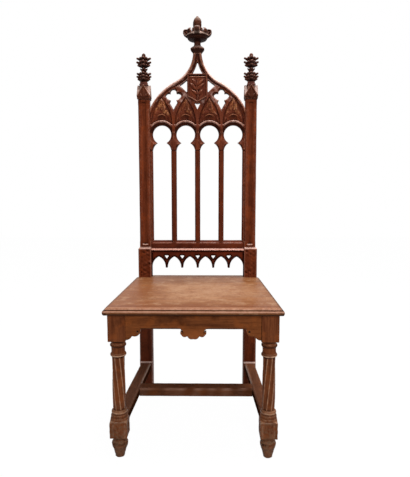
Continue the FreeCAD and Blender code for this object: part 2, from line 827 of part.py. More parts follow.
def ogee_turn(inset):
    # Where the convex and the hollow sweep of the ogee meet, on a line inset from its edge
    lower, upper = ogee_centres()
    span = ogee_shoulder_radius + ogee_sweep_radius
    reach = (ogee_shoulder_radius - inset) / span
    return lower[0] + (upper[0] - lower[0]) * reach, lower[1] + (upper[1] - lower[1]) * reach


def arc_middle(centre, radius, start, end):
    first = math.atan2(start[1] - centre[1], start[0] - centre[0])
    last = math.atan2(end[1] - centre[1], end[0] - centre[0])
    if last - first > math.pi:
        last -= 2 * math.pi
    if first - last > math.pi:
        last += 2 * math.pi
    angle = (first + last) / 2
    return centre[0] + radius * math.cos(angle), centre[1] + radius * math.sin(angle)


def ogee_line(inset, foot_x, top_z):
    # The right-hand ogee from its foot at foot_x to its stem at top_z, as points with arcs
    lower, upper = ogee_centres()
    low_radius = ogee_shoulder_radius - inset
    high_radius = ogee_sweep_radius + inset
    foot = (foot_x, lower[1] + math.sqrt(low_radius ** 2 - (foot_x - lower[0]) ** 2))
    turn = ogee_turn(inset)
    top = (upper[0] - math.sqrt(high_radius ** 2 - (top_z - upper[1]) ** 2), top_z)
    first = arc_middle(lower, low_radius, foot, turn)
    second = arc_middle(upper, high_radius, turn, top)
    return [foot, first + turn, second + top]


def ogee_sweep_height(x, inset):
    # Height of the hollow sweep of the ogee over x
    upper = ogee_centres()[1]
    radius = ogee_sweep_radius + inset
    return upper[1] - math.sqrt(radius ** 2 - (upper[0] - x) ** 2)


def sub_arch_centre():
    # The arch over a pair of lancets rises from under the shield to the inside of the ogee
    start = (0, centre_eye_bottom)
    upper = ogee_centres()[1]
    radius = ogee_sweep_radius + ogee_band
    meeting_z = head_bottom + sub_arch_meeting_rise
    end = (upper[0] - math.sqrt(radius ** 2 - (upper[1] - meeting_z) ** 2), meeting_z)
    middle = ((start[0] + end[0]) / 2, (start[1] + end[1]) / 2)
    chord = math.hypot(end[0] - start[0], end[1] - start[1])
    offset = math.sqrt(sub_arch_radius ** 2 - chord ** 2 / 4)
    across = ((end[1] - start[1]) / chord, -(end[0] - start[0]) / chord)
    return (middle[0] + offset * across[0], middle[1] + offset * across[1]), end


def sub_arch_height(x):
    centre = sub_arch_centre()[0]
    return centre[1] + math.sqrt(sub_arch_radius ** 2 - (x - centre[0]) ** 2)


def angle_about(centre, spot):
    return math.atan2(spot[1] - centre[1], spot[0] - centre[0])


def swept_round(centre, reach, start, end, radius):
    # A round bar bent about a centre, between two angles, half sunk in the face of the board
    angle = angle_about(centre, start)
    middle = Vector(centre[0], board_front, centre[1])
    spot = middle + Vector(reach * math.cos(angle), 0, reach * math.sin(angle))
    along = Vector(-math.sin(angle), 0, math.cos(angle))
    ring = Part.Face(Part.Wire([Part.makeCircle(radius, spot, along)]))
    turn = (math.degrees(angle - angle_about(centre, end)) + 180) % 360 - 180
    return ring.revolve(middle, Vector(0, 1, 0), turn)


def roll_along_ogee(radius, inset):
    # A round moulding that follows the edge of the ogee, from the post up to the stem
    lower, upper = ogee_centres()
    below = ogee_line(inset, post_inner + radius, stem_top)
    turn = ogee_turn(inset)
    first = swept_round(lower, ogee_shoulder_radius - inset, below[0], turn, radius)
    second = swept_round(upper, ogee_sweep_radius + inset, turn, below[-1][-2:], radius)
    return first.fuse(second)


def lancet_cutter(x):
    # Two overlapping circles over a straight opening, splayed wider at the front
    front = board_front - overrun
    depth = back_board_thickness + 2 * overrun
    face_to_back = Vector(0, 1, 0)
    upper = Vector(x, front, upper_circle_height)
    lower_circle_height = head_bottom - lower_circle_drop
    lower = Vector(x, front, lower_circle_height)
    cutters = [Part.makeCylinder(opening_half, depth, upper, face_to_back),
               Part.makeCylinder(opening_half, depth, lower, face_to_back)]
    for centre, splay in ((upper_circle_height, opening_splay), (lower_circle_height, lower_splay)):
        cone = Part.makeCone(opening_half + splay, opening_half, splay, Vector(x, board_front, centre),
                             face_to_back)
        cutters.append(cone)
    return cutters


def panel_face(x):
    half = lancet_pitch / 2 - panel_rib / 2
    return pointed_arch(x, half, upper_circle_height, head_bottom + panel_springing_rise,
                        panel_apex_rise - panel_springing_rise)


def cross_points(x, swell):
    half = []
    middle = cross_top - cross_height / 2
    for share in ((0, 0),) + cross_shares:
        spots = []
        for index in range(0, len(share), 2):
            height = cross_top + share[index + 1] * cross_height
            spots += [share[index] * cross_half_span * swell, middle + (height - middle) * swell]
        half.append(tuple(spots))
    points = both_halves(half)
    moved = []
    for spot in points:
        moved.append(tuple(value + x if index % 2 == 0 else value for index, value in enumerate(spot)))
    return moved


def side_eye():
    # The three-cornered piercing beside the shield
    near = shield_half_width + side_eye_gap
    meeting = sub_arch_centre()[1]
    top = (near, ogee_sweep_height(near, ogee_band))
    low = (near, sub_arch_height(near))
    between = (near + meeting[0]) / 2
    return [top, (between, ogee_sweep_height(between, ogee_band)) + meeting,
            (between, sub_arch_height(between)) + low]


def top_eye():
    # The three-cornered piercing over the shield, inside the point of the ogee
    upper = ogee_centres()[1]
    radius = ogee_sweep_radius + ogee_band
    apex = (0, upper[1] - math.sqrt(radius ** 2 - upper[0] ** 2))
    foot_x = upper[0] - math.sqrt(radius ** 2 - (upper[1] - shield_top) ** 2)
    half_x = foot_x / 2
    half_z = ogee_sweep_height(half_x, ogee_band)
    return [(-foot_x, shield_top), (foot_x, shield_top), (half_x, half_z) + apex,
            (-half_x, half_z, -foot_x, shield_top)]


def centre_eye():
    centre = sub_arch_centre()[0]
    wide = centre[0] - math.sqrt(sub_arch_radius ** 2 - (centre_eye_top - centre[1]) ** 2)
    middle = (wide / 2, sub_arch_height(wide / 2))
    return [(0, centre_eye_bottom), middle + (wide, centre_eye_top), (0, centre_eye_top - centre_eye_dip),
            (-wide, centre_eye_top), (-middle[0], middle[1], 0, centre_eye_bottom)]


def head_blank():
    # The board sawn to the ogee, with a round moulding and a hollow worked along its edge
    right = [(0, head_bottom), (post_inner, head_bottom)]
    right += ogee_line(0, post_inner, stem_top) + [(0, stem_top)]
    board = slab(both_halves(right), board_front, board_back)
    side = block(0, post_inner, board_front - post_depth, board_back, head_bottom, stem_top)
    roll = roll_along_ogee(ogee_roll_radius, ogee_roll_radius + ogee_fillet).common(side)
    hollow = roll_along_ogee(ogee_hollow_radius, ogee_hollow_inset)
    board = board.cut(hollow).cut(mirror(hollow))
    return board.fuse([roll, mirror(roll)])


def disc(x, radius, front, back):
    return Part.makeCylinder(radius, back - front, Vector(x, front, upper_circle_height), Vector(0, 1, 0))


def sunk_panel(x):
    # The pointed panel over a lancet is sunk around the lancet's bead
    back = board_front + panel_sinking
    panel = slab(panel_face(x), board_front - overrun, back)
    return panel.cut(disc(x, bead_radius, board_front - 2 * overrun, back + overrun))


def lancet_bead(x):
    front = board_front - bead_relief
    back = board_front + panel_sinking
    ring = disc(x, bead_radius, front, back)
    ring = ring.cut(disc(x, bead_radius - bead_width, front - overrun, back + overrun))
    low = upper_circle_height + math.sqrt(bead_radius ** 2 - (lancet_pitch / 2) ** 2) - bead_width
    left = max(x - lancet_pitch / 2, -post_inner)
    right = min(x + lancet_pitch / 2, post_inner)
    return ring.common(block(left, right, front, back, low, head_bottom + panel_apex_rise))


def tracery_head():
    head = head_blank()
    for x in lancet_places():
        head = head.cut(sunk_panel(x)).fuse(lancet_bead(x))
    for x in lancet_places():
        for cutter in lancet_cutter(x):
            head = head.cut(cutter)
    for x in (-lancet_pitch, lancet_pitch):
        head = head.cut(slab(cross_points(x, cross_sinking_share), board_front - overrun,
                             board_front + cross_sinking))
        head = head.cut(slab(cross_points(x, 1), board_front - overrun, board_back + overrun))
    eye = slab(side_eye(), board_front - overrun, board_back + overrun)
    for cutter in (eye, mirror(eye), slab(top_eye(), board_front - overrun, board_back + overrun),
                   slab(centre_eye(), board_front - overrun, board_back + overrun)):
        head = head.cut(cutter)
    tenon = head_tenon(0)
    head = fused([head, tenon, mirror(tenon)])
    for x in mullion_places():
        head = head.cut(mullion_tenons(x, mortise_relief)[1])
    return head.cut(round_spigot(crest_spigot_radius, 0, back_y, stem_top, crest_spigot_length,
                                 mortise_relief))


def shield_points(inset):
    slope = shield_point_height / shield_half_width
    tip_inset = inset * math.hypot(1, slope)
    half = shield_half_width - inset
    return [(0, shield_top - inset), (half, shield_top - inset),
            (half, shield_tip + tip_inset + slope * half), (0, shield_tip + tip_inset)]


def shield(head):
    front = board_front - shield_thickness
    body = slab(both_halves(shield_points(0)), front, board_front)
    field = slab(both_halves(shield_points(shield_rim)), front - overrun, front + shield_field_sinking)
    body = body.cut(field).cut(head)
    return max(body.Solids, key=lambda solid: solid.Volume)


def crest_leaf(angle):
    bottom = crest_bowl_bottom + crest_leaf_rise
    points = from_shares(crest_leaf_shares, crest_leaf_reach, bottom, crest_leaf_height)
    half = crest_leaf_width / 2
    leaf = slab(points, -half, half)
    leaf.rotate(Vector(0, 0, 0), Vector(0, 0, 1), angle)
    leaf.translate(Vector(0, back_y, 0))
    return leaf


def crest_finial():
    wires = []
    for reach, rise in crest_collar_shares:
        height = stem_top + rise * crest_collar_height
        wires.append(ring_wire(reach * crest_collar_radius, crest_sides, 0, back_y, height))
    collar = Part.makeLoft(wires, True, True)
    outline = from_shares(crest_bowl_shares, crest_bowl_radius, crest_bowl_bottom, crest_bowl_height)
    bowl = turned(outline, 0, back_y)
    leaves = [crest_leaf(angle) for angle in (0, 90, 180, 270)]
    spigot = cylinder(crest_spigot_radius, 0, back_y, stem_top - crest_spigot_length, stem_top + overrun)
    body = fused([collar, bowl, spigot] + leaves)
    return body.cut(round_spigot(bud_spigot_radius, 0, back_y, crest_rim, bud_spigot_length,
                                 mortise_relief))


def crest_bud():
    bud = turned(from_shares(bud_shares, bud_radius, crest_rim, bud_height), 0, back_y)
    spigot = cylinder(bud_spigot_radius, 0, back_y, crest_rim - bud_spigot_length, crest_rim + overrun)
    return fused([bud, spigot])


def gabled_cap():
    half = cap_width / 2
    eaves = post_top + cap_eaves
    ridge = post_top + cap_height
    low = post_top + cap_kneeler_height
    gable = [(-half, low), (-half, eaves), (0, ridge), (half, eaves), (half, low)]
    one = slab(gable, -half, half)
    other = one.copy()
    other.rotate(Vector(0, 0, 0), Vector(0, 0, 1), 90)
    inset = half - cap_kneeler_setback
    kneeler = block(-inset, inset, -inset, inset, post_top, low)
    stem = finial_stem_width / 2
    seat = block(-stem, stem, -stem, stem, eaves, ridge)
    cap = one.fuse([other, kneeler, seat])
    cap.translate(Vector(upper_x, back_y, 0))
    cap = cap.removeSplitter()
    cap = cap.cut(post_spigot_block(mortise_relief))
    return cap.cut(round_spigot(finial_spigot_radius, upper_x, back_y, ridge, finial_spigot_length,
                                mortise_relief))


def leaf_plate(bottom, height):
    right = from_shares(leaf_tier_shares, finial_reach, bottom, height)
    outline = [(0, bottom)] + right + [(0, bottom + height * leaf_tier_shares[-1][1])]
    half = finial_leaf_thickness / 2
    return slab(both_halves(outline), -half, half)


def finial_stem(foot):
    # The square foot of the finial, spread where it stands on the cap
    wires = []
    for reach, rise in finial_stem_shares:
        height = foot + rise * finial_height
        wires.append(ring_wire(reach * finial_stem_width, finial_stem_sides, 0, 0, height))
    return Part.makeLoft(wires, True, True)


def post_finial():
    foot = post_top + cap_height
    core = from_shares(finial_core_shares, finial_stem_width, foot, finial_height)
    pieces = [turned(core, 0, 0), finial_stem(foot)]
    for start, height in leaf_tiers_shares:
        plate = leaf_plate(foot + start * finial_height, height * finial_height)
        crossing = plate.copy()
        crossing.rotate(Vector(0, 0, 0), Vector(0, 0, 1), 90)
        pieces += [plate, crossing]
    pieces.append(cylinder(finial_spigot_radius, 0, 0, foot - finial_spigot_length, foot + overrun))
    finial = fused(pieces)
    finial.translate(Vector(upper_x, back_y, 0))
    return finial


def screw_places():
    front = leg_back + screw_inset - rail_thickness / 2
    front_x = leg_inner - screw_inset / 2
    rear = post_front - screw_inset + rail_thickness / 2
    rear_x = post_inner - screw_inset / 2
    return [(front_x, front), (rear_x, rear)]


def screw_hole(x, y):
    foot = under_seat - corner_block_height
    shank = cylinder(screw_shank_radius + screw_hole_gap, x, y, foot - overrun, under_seat + overrun)
    head = cylinder(screw_head_radius + screw_hole_gap, x, y, foot - overrun, foot + screw_head_height)
    return shank.fuse(head)


def front_corner_block():
    rail_inner = leg_front + rail_thickness
    side_y = leg_back + corner_block_side
    points = [(leg_inner - corner_block_reach, rail_inner), (leg_inner, rail_inner), (leg_inner, leg_back),
              (side_rail_outer(leg_back) - rail_thickness, leg_back),
              (side_rail_outer(side_y) - rail_thickness, side_y)]
    piece = upright(points, under_seat - corner_block_height, under_seat)
    return piece.cut(screw_hole(*screw_places()[0]))


def back_corner_block():
    rail_front = post_back - back_rail_setback - back_rail_thickness
    side_y = post_front - corner_block_side
    points = [(post_inner - corner_block_reach, rail_front), (post_inner, rail_front),
              (post_inner, post_front), (side_rail_outer(post_front) - rail_thickness, post_front),
              (side_rail_outer(side_y) - rail_thickness, side_y)]
    piece = upright(points, under_seat - corner_block_height, under_seat)
    return piece.cut(screw_hole(*screw_places()[1]))


def seat_screws():
    screws = []
    foot = under_seat - corner_block_height
    for x, y in screw_places():
        for side in (1, -1):
            shank = cylinder(screw_shank_radius, side * x, y, foot, foot + screw_length)
            head = cylinder(screw_head_radius, side * x, y, foot, foot + screw_head_height)
            screws.append(fused([shank, head]))
    return Part.makeCompound(screws)


def pair(pieces, name, shape):
    pieces[name + "_right"] = shape
    pieces[name + "_left"] = mirror(shape)


def all_pieces():
    pieces = {}
    pieces["seat_board"] = seat_board()
    pair(pieces, "front_leg", front_leg())
    pair(pieces, "back_post", back_post())
    pieces["front_rail"] = front_rail()
    pair(pieces, "side_rail", side_rail())
    pieces["back_seat_rail"] = back_seat_rail()
    pair(pieces, "side_stretcher", side_stretcher())
    pieces["cross_stretcher"] = cross_stretcher()
    pieces["lower_back_rail"] = lower_back_rail()
    pieces["arcade_valance"] = arcade_valance()
    for name, x in zip(("mullion_left", "mullion_centre", "mullion_right"), mullion_places()):
        pieces[name] = mullion(x, pieces["lower_back_rail"])
    pair(pieces, "back_strip", back_strip(pieces["lower_back_rail"]))
    pieces["tracery_head"] = tracery_head()
    pieces["shield"] = shield(pieces["tracery_head"])
    pieces["crest_finial"] = crest_finial()
    pieces["crest_bud"] = crest_bud()
    pair(pieces, "gabled_cap", gabled_cap())
    pair(pieces, "post_finial", post_finial())
    pair(pieces, "front_corner_block", front_corner_block())
    pair(pieces, "back_corner_block", back_corner_block())
    pieces["seat_screws"] = seat_screws()
    return pieces


os.makedirs("parts", exist_ok=True)
for name, shape in all_pieces().items():
    shape.translate(frame_shift)
    shape.exportStep(os.path.join("parts", name + ".step"))
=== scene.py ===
import bpy
import bmesh
import math
import numpy as np
from mathutils import Matrix, Vector


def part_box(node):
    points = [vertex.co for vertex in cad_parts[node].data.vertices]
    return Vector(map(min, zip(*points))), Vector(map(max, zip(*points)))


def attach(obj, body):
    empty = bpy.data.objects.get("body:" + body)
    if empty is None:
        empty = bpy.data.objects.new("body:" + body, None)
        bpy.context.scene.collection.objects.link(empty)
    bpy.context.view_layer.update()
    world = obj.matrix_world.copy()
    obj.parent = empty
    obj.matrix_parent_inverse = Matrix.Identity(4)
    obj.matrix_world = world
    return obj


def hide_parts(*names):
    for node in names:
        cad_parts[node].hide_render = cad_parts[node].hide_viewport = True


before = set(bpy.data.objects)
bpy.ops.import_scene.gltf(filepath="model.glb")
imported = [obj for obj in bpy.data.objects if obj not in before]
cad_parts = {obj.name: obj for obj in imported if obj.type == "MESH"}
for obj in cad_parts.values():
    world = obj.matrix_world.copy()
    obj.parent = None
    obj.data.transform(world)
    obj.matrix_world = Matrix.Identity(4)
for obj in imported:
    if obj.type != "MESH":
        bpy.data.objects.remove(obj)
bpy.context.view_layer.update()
scene = bpy.context.scene
mm = 0.001


# View and light. The chair stands free on a pale floor, seen from a little over the
# seat, under soft daylight from above and in front. Nothing here belongs to the chair.
class Value:
    """A number or colour that varies over a surface. Sums on it add Math nodes."""

    def __init__(self, finish, socket):
        self.finish = finish
        self.socket = socket

    def reckon(self, operation, first, second, clipped=False):
        sockets = {0: first, 1: second}
        return self.finish.node("ShaderNodeMath", sockets, operation=operation, use_clamp=clipped)

    def __add__(self, other):
        return self.reckon("ADD", self, other)

    def __sub__(self, other):
        return self.reckon("SUBTRACT", self, other)

    def __rsub__(self, other):
        return self.reckon("SUBTRACT", other, self)

    def __mul__(self, other):
        return self.reckon("MULTIPLY", self, other)

    def clip(self):
        return self.reckon("ADD", self, 0.0, True)


class Finish:
    """The nodes of a material or of the daylight."""

    def __init__(self, owner):
        self.owner = owner
        self.owner.use_nodes = True
        self.tree = self.owner.node_tree
        self.tree.nodes.clear()

    def node(self, kind, sockets=None, output=0, **settings):
        made = self.tree.nodes.new(kind)
        for setting, value in settings.items():
            setattr(made, setting, value)
        for key, value in (sockets or {}).items():
            if isinstance(value, Value):
                self.tree.links.new(value.socket, made.inputs[key])
            else:
                made.inputs[key].default_value = value
        return Value(self, made.outputs[output]) if made.outputs else None

    def blend(self, share, first, second):
        # A fixed colour is given as red, green and blue
        pair = [each if isinstance(each, Value) else (*each, 1) for each in (first, second)]
        return self.node("ShaderNodeMix", {0: share, 6: pair[0], 7: pair[1]}, 2, data_type="RGBA")

    def step(self, value, low, high):
        sockets = {"Value": value, "From Min": low, "From Max": high}
        return self.node("ShaderNodeMapRange", sockets, interpolation_type="SMOOTHSTEP")

    def noise(self, place, scale, detail, **more):
        sockets = {"Vector": place, "Scale": scale, "Detail": detail}
        return self.node("ShaderNodeTexNoise", {**sockets, **more})

    def mark(self, name):
        # A number that is stored on the points of a piece
        return self.node("ShaderNodeAttribute", output="Fac", attribute_name=name)

    def seen_by_eye(self):
        # 1 where the eye sees this straight, mirrored or through glass
        rays = [self.node("ShaderNodeLightPath", output="Is " + kind + " Ray")
                for kind in ("Camera", "Glossy", "Transmission")]
        return (rays[0] + rays[1] + rays[2]).clip()

    def coat(self, colour, rough, more):
        sockets = {"Base Color": colour, "Roughness": rough}
        surface = self.node("ShaderNodeBsdfPrincipled", {**sockets, **more})
        self.node("ShaderNodeOutputMaterial", {"Surface": surface})
        return self.owner


def placed(name, data):
    made = bpy.data.objects.new(name, data)
    scene.collection.objects.link(made)
    return made


film_size = 36
focal_pixels = 472.68
picture_height = 477
camera = placed("camera", bpy.data.cameras.new("camera"))
scene.camera = camera
camera.data.sensor_width = film_size
camera.data.lens = film_size * focal_pixels / picture_height
camera.location = (0.0477, -1.55195, 0.7833)
camera.rotation_euler = (math.pi / 2 - 0.1064, 0, 0.0114)

shape = bmesh.new()
bmesh.ops.create_grid(shape, x_segments=1, y_segments=1, size=6)
floor = placed("floor", bpy.data.meshes.new("floor"))
shape.to_mesh(floor.data)
shape.free()
pale = Finish(bpy.data.materials.new("pale_floor"))
matt = pale.node("ShaderNodeBsdfDiffuse", {"Color": (0.6, 0.6, 0.6, 1)})
glow = pale.node("ShaderNodeEmission", {"Color": (1, 1, 1, 1), "Strength": 1.02})
lit = pale.node("ShaderNodeMixShader", {0: pale.seen_by_eye() * 0.97, 1: matt, 2: glow})
pale.node("ShaderNodeOutputMaterial", {"Surface": lit})
floor.data.materials.append(pale.owner)

daylight = Finish(bpy.data.worlds.new("soft_daylight"))
scene.world = daylight.owner
room = daylight.node("ShaderNodeBackground", {"Color": (1.0, 0.97, 0.95, 1), "Strength": 0.24})
white = daylight.node("ShaderNodeBackground", {"Color": (1, 1, 1, 1), "Strength": 1.0})
both = daylight.node("ShaderNodeMixShader", {0: daylight.seen_by_eye(), 1: room, 2: white})
daylight.node("ShaderNodeOutputWorld", {"Surface": both})


def softbox(name, place, aim, size, power):
    lamp = bpy.data.lights.new(name, "AREA")
    lamp.shape = "RECTANGLE"
    lamp.size, lamp.size_y = size
    lamp.energy = power
    holder = placed(name, lamp)
    holder.location = place
    holder.rotation_euler = (Vector(aim) - Vector(place)).to_track_quat("-Z", "Y").to_euler()


softbox("window_overhead", (0.5, -0.02, 3.1), (0, 0.1, 0.6), (1.4, 1.3), 92)
softbox("window_front", (0.9, -3.0, 2.4), (0, 0.1, 0.7), (1.2, 1.4), 50)


# Front legs. Each is turned and cut from one square oak blank, with a twisted fluted
# shaft between two square blocks that take the mortises. The arrises are worn and painted with pale
# highlights.
def solid(node):
    # A copy of a node's solid
    shape = bmesh.new()
    shape.from_mesh(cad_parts[node].data)
    bmesh.ops.remove_doubles(shape, verts=shape.verts, dist=mm / 1000)
    return shape


def points_of(mesh, what="co"):
    found = np.empty(len(mesh.vertices) * 3)
    mesh.vertices.foreach_get(what, found)
    return found.reshape(-1, 3)


def neighbour_mean(mesh, values, rounds):
    pairs = np.empty(len(mesh.edges) * 2, dtype=np.int64)
    mesh.edges.foreach_get("vertices", pairs)
    one, other = pairs[0::2], pairs[1::2]
    count = len(mesh.vertices)
    ways = np.maximum(np.bincount(one, minlength=count) + np.bincount(other, minlength=count), 1)
    values = values.copy()
    for _ in range(rounds):
        for column in range(values.shape[1]):
            around = np.bincount(one, values[other, column], count)
            around += np.bincount(other, values[one, column], count)
            values[:, column] = around / ways
    return values


def store(mesh, name, values):
    layer = mesh.attributes.get(name) or mesh.attributes.new(name, "FLOAT", "POINT")
    layer.data.foreach_set("value", values.astype(np.float32))


def stored(mesh, name):
    values = np.empty(len(mesh.vertices))
    mesh.attributes[name].data.foreach_get("value", values)
    return values


def mark_relief(mesh, grain, crisp):
    # How far each point stands proud of its surroundings: 1 on an arris, -1 in a corner;
    # and how much it looks up at the sky, painted as highlight where it looks up and as shade where it
    # looks down
    rounds = 12
    spots = points_of(mesh)
    normals = points_of(mesh, "normal")
    proud = ((spots - neighbour_mean(mesh, spots, rounds)) * normals).sum(1)
    relief = neighbour_mean(mesh, (proud * crisp / (0.4 * grain * math.sqrt(rounds)))[:, None], 1)[:, 0]
    store(mesh, "relief", relief)
    store(mesh, "sky", neighbour_mean(mesh, normals, 2)[:, 2])
    store(mesh, "tone", np.zeros(len(spots)))


def quiet(piece, name, share):
    # Less of a mark where the piece is joined tight to another, or kept dark
    mesh = piece.data
    values = stored(mesh, name)
    kept = share(points_of(mesh) / mm)
    if name == "sky":
        kept = np.where(values > 0, kept, 1)
    store(mesh, name, values * kept)


def shaded(piece, tone):
    # The wood is lighter where the tone is above 0 and darker where it is below
    store(piece.data, "tone", tone(points_of(piece.data) / mm))


def bright(piece, name, where):
    # A line or patch painted brighter: a painted highlight, with wear on some arrises
    values = where(points_of(piece.data) / mm)
    store(piece.data, name, np.maximum(stored(piece.data, name), np.where(values > 0, values, -9)))


def cut_piece(name, shape, grain, rubbing, carve=None, crisp=1.0):
    # The shape becomes one skin of even grain, which is rubbed soft and then carved.
    # Grain, carving and marks are in millimetres
    rough = bpy.data.meshes.new(name)
    shape.to_mesh(rough)
    shape.free()
    piece = placed(name, rough)
    skin = piece.modifiers.new("skin", "REMESH")
    skin.mode = "VOXEL"
    skin.voxel_size = grain * mm
    skin.use_smooth_shade = True
    soft = piece.modifiers.new("rubbing", "SMOOTH")
    soft.factor = 0.5
    soft.iterations = rubbing
    seen_now = piece.evaluated_get(bpy.context.evaluated_depsgraph_get())
    mesh = bpy.data.meshes.new_from_object(seen_now)
    piece.modifiers.clear()
    piece.data = mesh
    bpy.data.meshes.remove(rough)
    mesh.name = name
    if carve:
        spots = points_of(mesh)
        moved = carve(spots / mm, points_of(mesh, "normal")) * mm
        smoothed = neighbour_mean(mesh, moved, 1)
        touched = np.abs(moved - spots).max(1) > mm / 100
        moved[touched] = (moved[touched] + smoothed[touched]) / 2
        mesh.vertices.foreach_set("co", moved.ravel())
        mesh.update()
    mark_relief(mesh, grain * mm, crisp)
    return piece


def uneven(spots, size, seed):
    # A smooth unevenness between about -1 and 1, with lumps of the given size
    dice = np.random.default_rng(seed)
    total = np.zeros(len(spots))
    for _ in range(7):
        way = dice.normal(size=3)
        way *= 2 * math.pi / size / np.linalg.norm(way) * dice.uniform(0.6, 1.4)
        total += np.sin(spots @ way + dice.uniform(0, 6.28))
    return total / 3


def tinted(colour, *shares):
    return tuple(part * share for part, share in zip(colour, shares))


def oak(name, heart, early, rubbed_highlight, along, rough=0.45, dusty=0.0, stains=0.5, top_highlight=0.8, lit=(0.3, 0.85),
        shade=0.75, pale=None, gloss=0.03, light=None):
    # heart and early are the dark and light of the grain, the fourth colour the worn arrises with their
    # painted highlight, pale the painted highlight on what looks up at the sky, and light the colour where
    # the tone is above 0
    wood = Finish(bpy.data.materials.new(name))
    place = wood.node("ShaderNodeTexCoord", output="Object")
    drawn_out = [1.0, 1.0, 1.0]
    drawn_out["xyz".index(along)] = 0.07
    run = wood.node("ShaderNodeMapping", {
        "Vector": place, "Scale": drawn_out, "Rotation": (0.02, 0.03, 0.02)})
    rings = wood.noise(run, 70.0, 4.0, Distortion=0.8)
    streaks = wood.noise(run, 330.0, 3.0)
    pores = wood.noise(run, 1300.0, 2.0)
    patches = wood.noise(place, 15.0, 5.0, Roughness=0.6)
    tints = wood.noise(place, 31.0, 2.0)
    fine = wood.noise(place, 160.0, 4.0)
    relief, sky, tone = (wood.mark(mark) for mark in ("relief", "sky", "tone"))
    grain = wood.step(rings * 0.5 + streaks * 0.5, 0.36, 0.64)
    pore = wood.step(pores, 0.57, 0.68)
    stain = wood.step(patches, 0.48, 0.7) * stains
    # Corners and creases are painted dark: painted shade, with some dirt
    crevice = wood.step(relief * -1.0, 0.04, 0.65)
    # Worn arrises, painted paler so that they also stand for their highlight
    wear_and_highlight = wood.step(relief + (fine - 0.5) * 0.8, 0.2, 0.95)
    # Faces that look up are painted paler: a painted highlight from the light above
    upper = wood.step(sky + (fine - 0.5) * 0.3, lit[0], lit[1]) * (1 - crevice)
    # Faces that look down are painted dark: painted shade
    under = wood.step(sky * -1.0, 0.08, 0.7)
    dark = tinted(heart, 0.4, 0.34, 0.32)
    black = tinted(heart, 0.08, 0.06, 0.08)
    colour = wood.blend(grain, heart, early)
    colour = wood.blend(wood.step(tints, 0.5, 0.7) * 0.6, colour, tinted(early, 1.25, 1.1, 0.8))
    colour = wood.blend(stain, colour, dark)
    colour = wood.blend(tone.clip(), colour, light or tinted(early, 1.9, 1.8, 1.5))
    colour = wood.blend(pore * 0.4, colour, dark)
    colour = wood.blend((tone * -1.0).clip(), colour, black)
    # In turn: painted shade below, dark creases, worn and highlighted arrises, and the painted highlight
    # on what looks up
    colour = wood.blend(under * shade, colour, black)
    colour = wood.blend(crevice * 0.9, colour, black)
    colour = wood.blend(wear_and_highlight * 0.6, colour, rubbed_highlight)
    colour = wood.blend(upper * top_highlight, colour, pale or rubbed_highlight)
    if dusty:
        low = 1 - wood.step(wood.node("ShaderNodeSeparateXYZ", {0: place}, output=2), 0.05, 0.2)
        colour = wood.blend(low * wood.step(fine, 0.3, 0.75) * dusty, colour, (0.172, 0.106, 0.062))
    sheen = crevice * 0.25 + rough - wear_and_highlight * 0.08 + (patches - 0.5) * 0.2
    height = pore * -0.5 + streaks * 0.35 + fine * 0.5
    bump = wood.node("ShaderNodeBump", {"Height": height, "Strength": 0.45, "Distance": 0.0006})
    wax = (wear_and_highlight * 0.3 + upper * top_highlight * 0.5).clip()
    return wood.coat(colour, sheen.clip(), {
        "Normal": bump, "Specular IOR Level": gloss, "Coat Weight": wax, "Coat Roughness": 0.3})


def box_of(node):
    # The lowest and the highest corner of a node in millimetres
    return [Vector(corner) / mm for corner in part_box(node)]


def fit(piece, finish, node):
    piece.data.materials.clear()
    piece.data.materials.append(finish)
    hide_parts(node)
    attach(piece, "root")


def leaves(u, v, *lobes):
    # The height of carved leaf lobes; each runs from start to a point at end
    heights = []
    for start, end, width, height, keel in lobes:
        du, dv = end[0] - start[0], end[1] - start[1]
        length = math.hypot(du, dv)
        along = ((u - start[0]) * du + (v - start[1]) * dv) / length ** 2
        aside = np.abs((u - start[0]) * dv - (v - start[1]) * du) / length
        inside = (along > 0) & (along < 1)
        share = np.where(inside, np.clip(along, 0.001, 0.999), 0.5)
        half = width / 2 * np.sin(math.pi * share ** 0.75) ** 0.75
        ratio = np.clip(aside / half, 0, 1)
        profile = keel * (1 - ratio) + (1 - keel) * np.sqrt(1 - ratio ** 2)
        ends = np.clip(np.minimum(share, 1 - share) * 6, 0, 1) ** 0.5
        heights.append(np.where(inside & (ratio < 1), height * profile * ends, 0))
    return np.maximum.reduce(heights)


def near(values, middle, reach):
    return np.abs(values - middle) < reach


def ramp(values, start, end):
    # From 0 at the start to 1 at the end
    return np.clip((values - start) / (end - start), 0, 1)


# Heights and places on the leg, in millimetres
leg_axis = (215, -236.7)
foot_block_low, foot_block_high = 64, 112
base_groove, base_ring_foot = 120.5, 138.5
shaft_low, shaft_high = 146, 302
lower_ring_foot, upper_ring_foot = 307, 342
rail_block_low = 352
rail_joint = box_of("front_leg_right")[0].x


def from_leg_axis(spots):
    x, y, z = spots.T
    return np.abs(x) - leg_axis[0], y - leg_axis[1], z


def hewn_foot(spots, normals):
    # The block under the twist has a palmette in low relief, and the foot is knocked by use
    across, behind, z = from_leg_axis(spots)
    low = ramp(z, 125, 105)
    depth = uneven(spots, 11, 3) * 0.35 * low + uneven(spots, 26, 4) * 0.15
    side = np.abs(np.where(np.abs(normals[:, 1]) > np.abs(normals[:, 0]), across, behind))
    palmette = leaves(side, z, ((0, 67), (0, 104), 9, 1.5, 0.8), ((2, 68), (14, 99), 9, 1.4, 0.8),
                      ((5, 67), (20, 84), 8, 1.2, 0.8))
    ground = (z > foot_block_low) * (z < foot_block_high) * (side < 22) * 0.8
    depth = depth + (np.abs(normals[:, 2]) < 0.35) * (palmette - ground)
    moved = spots + normals * depth[:, None]
    moved[:, 2] = np.maximum(moved[:, 2], 0)
    return moved


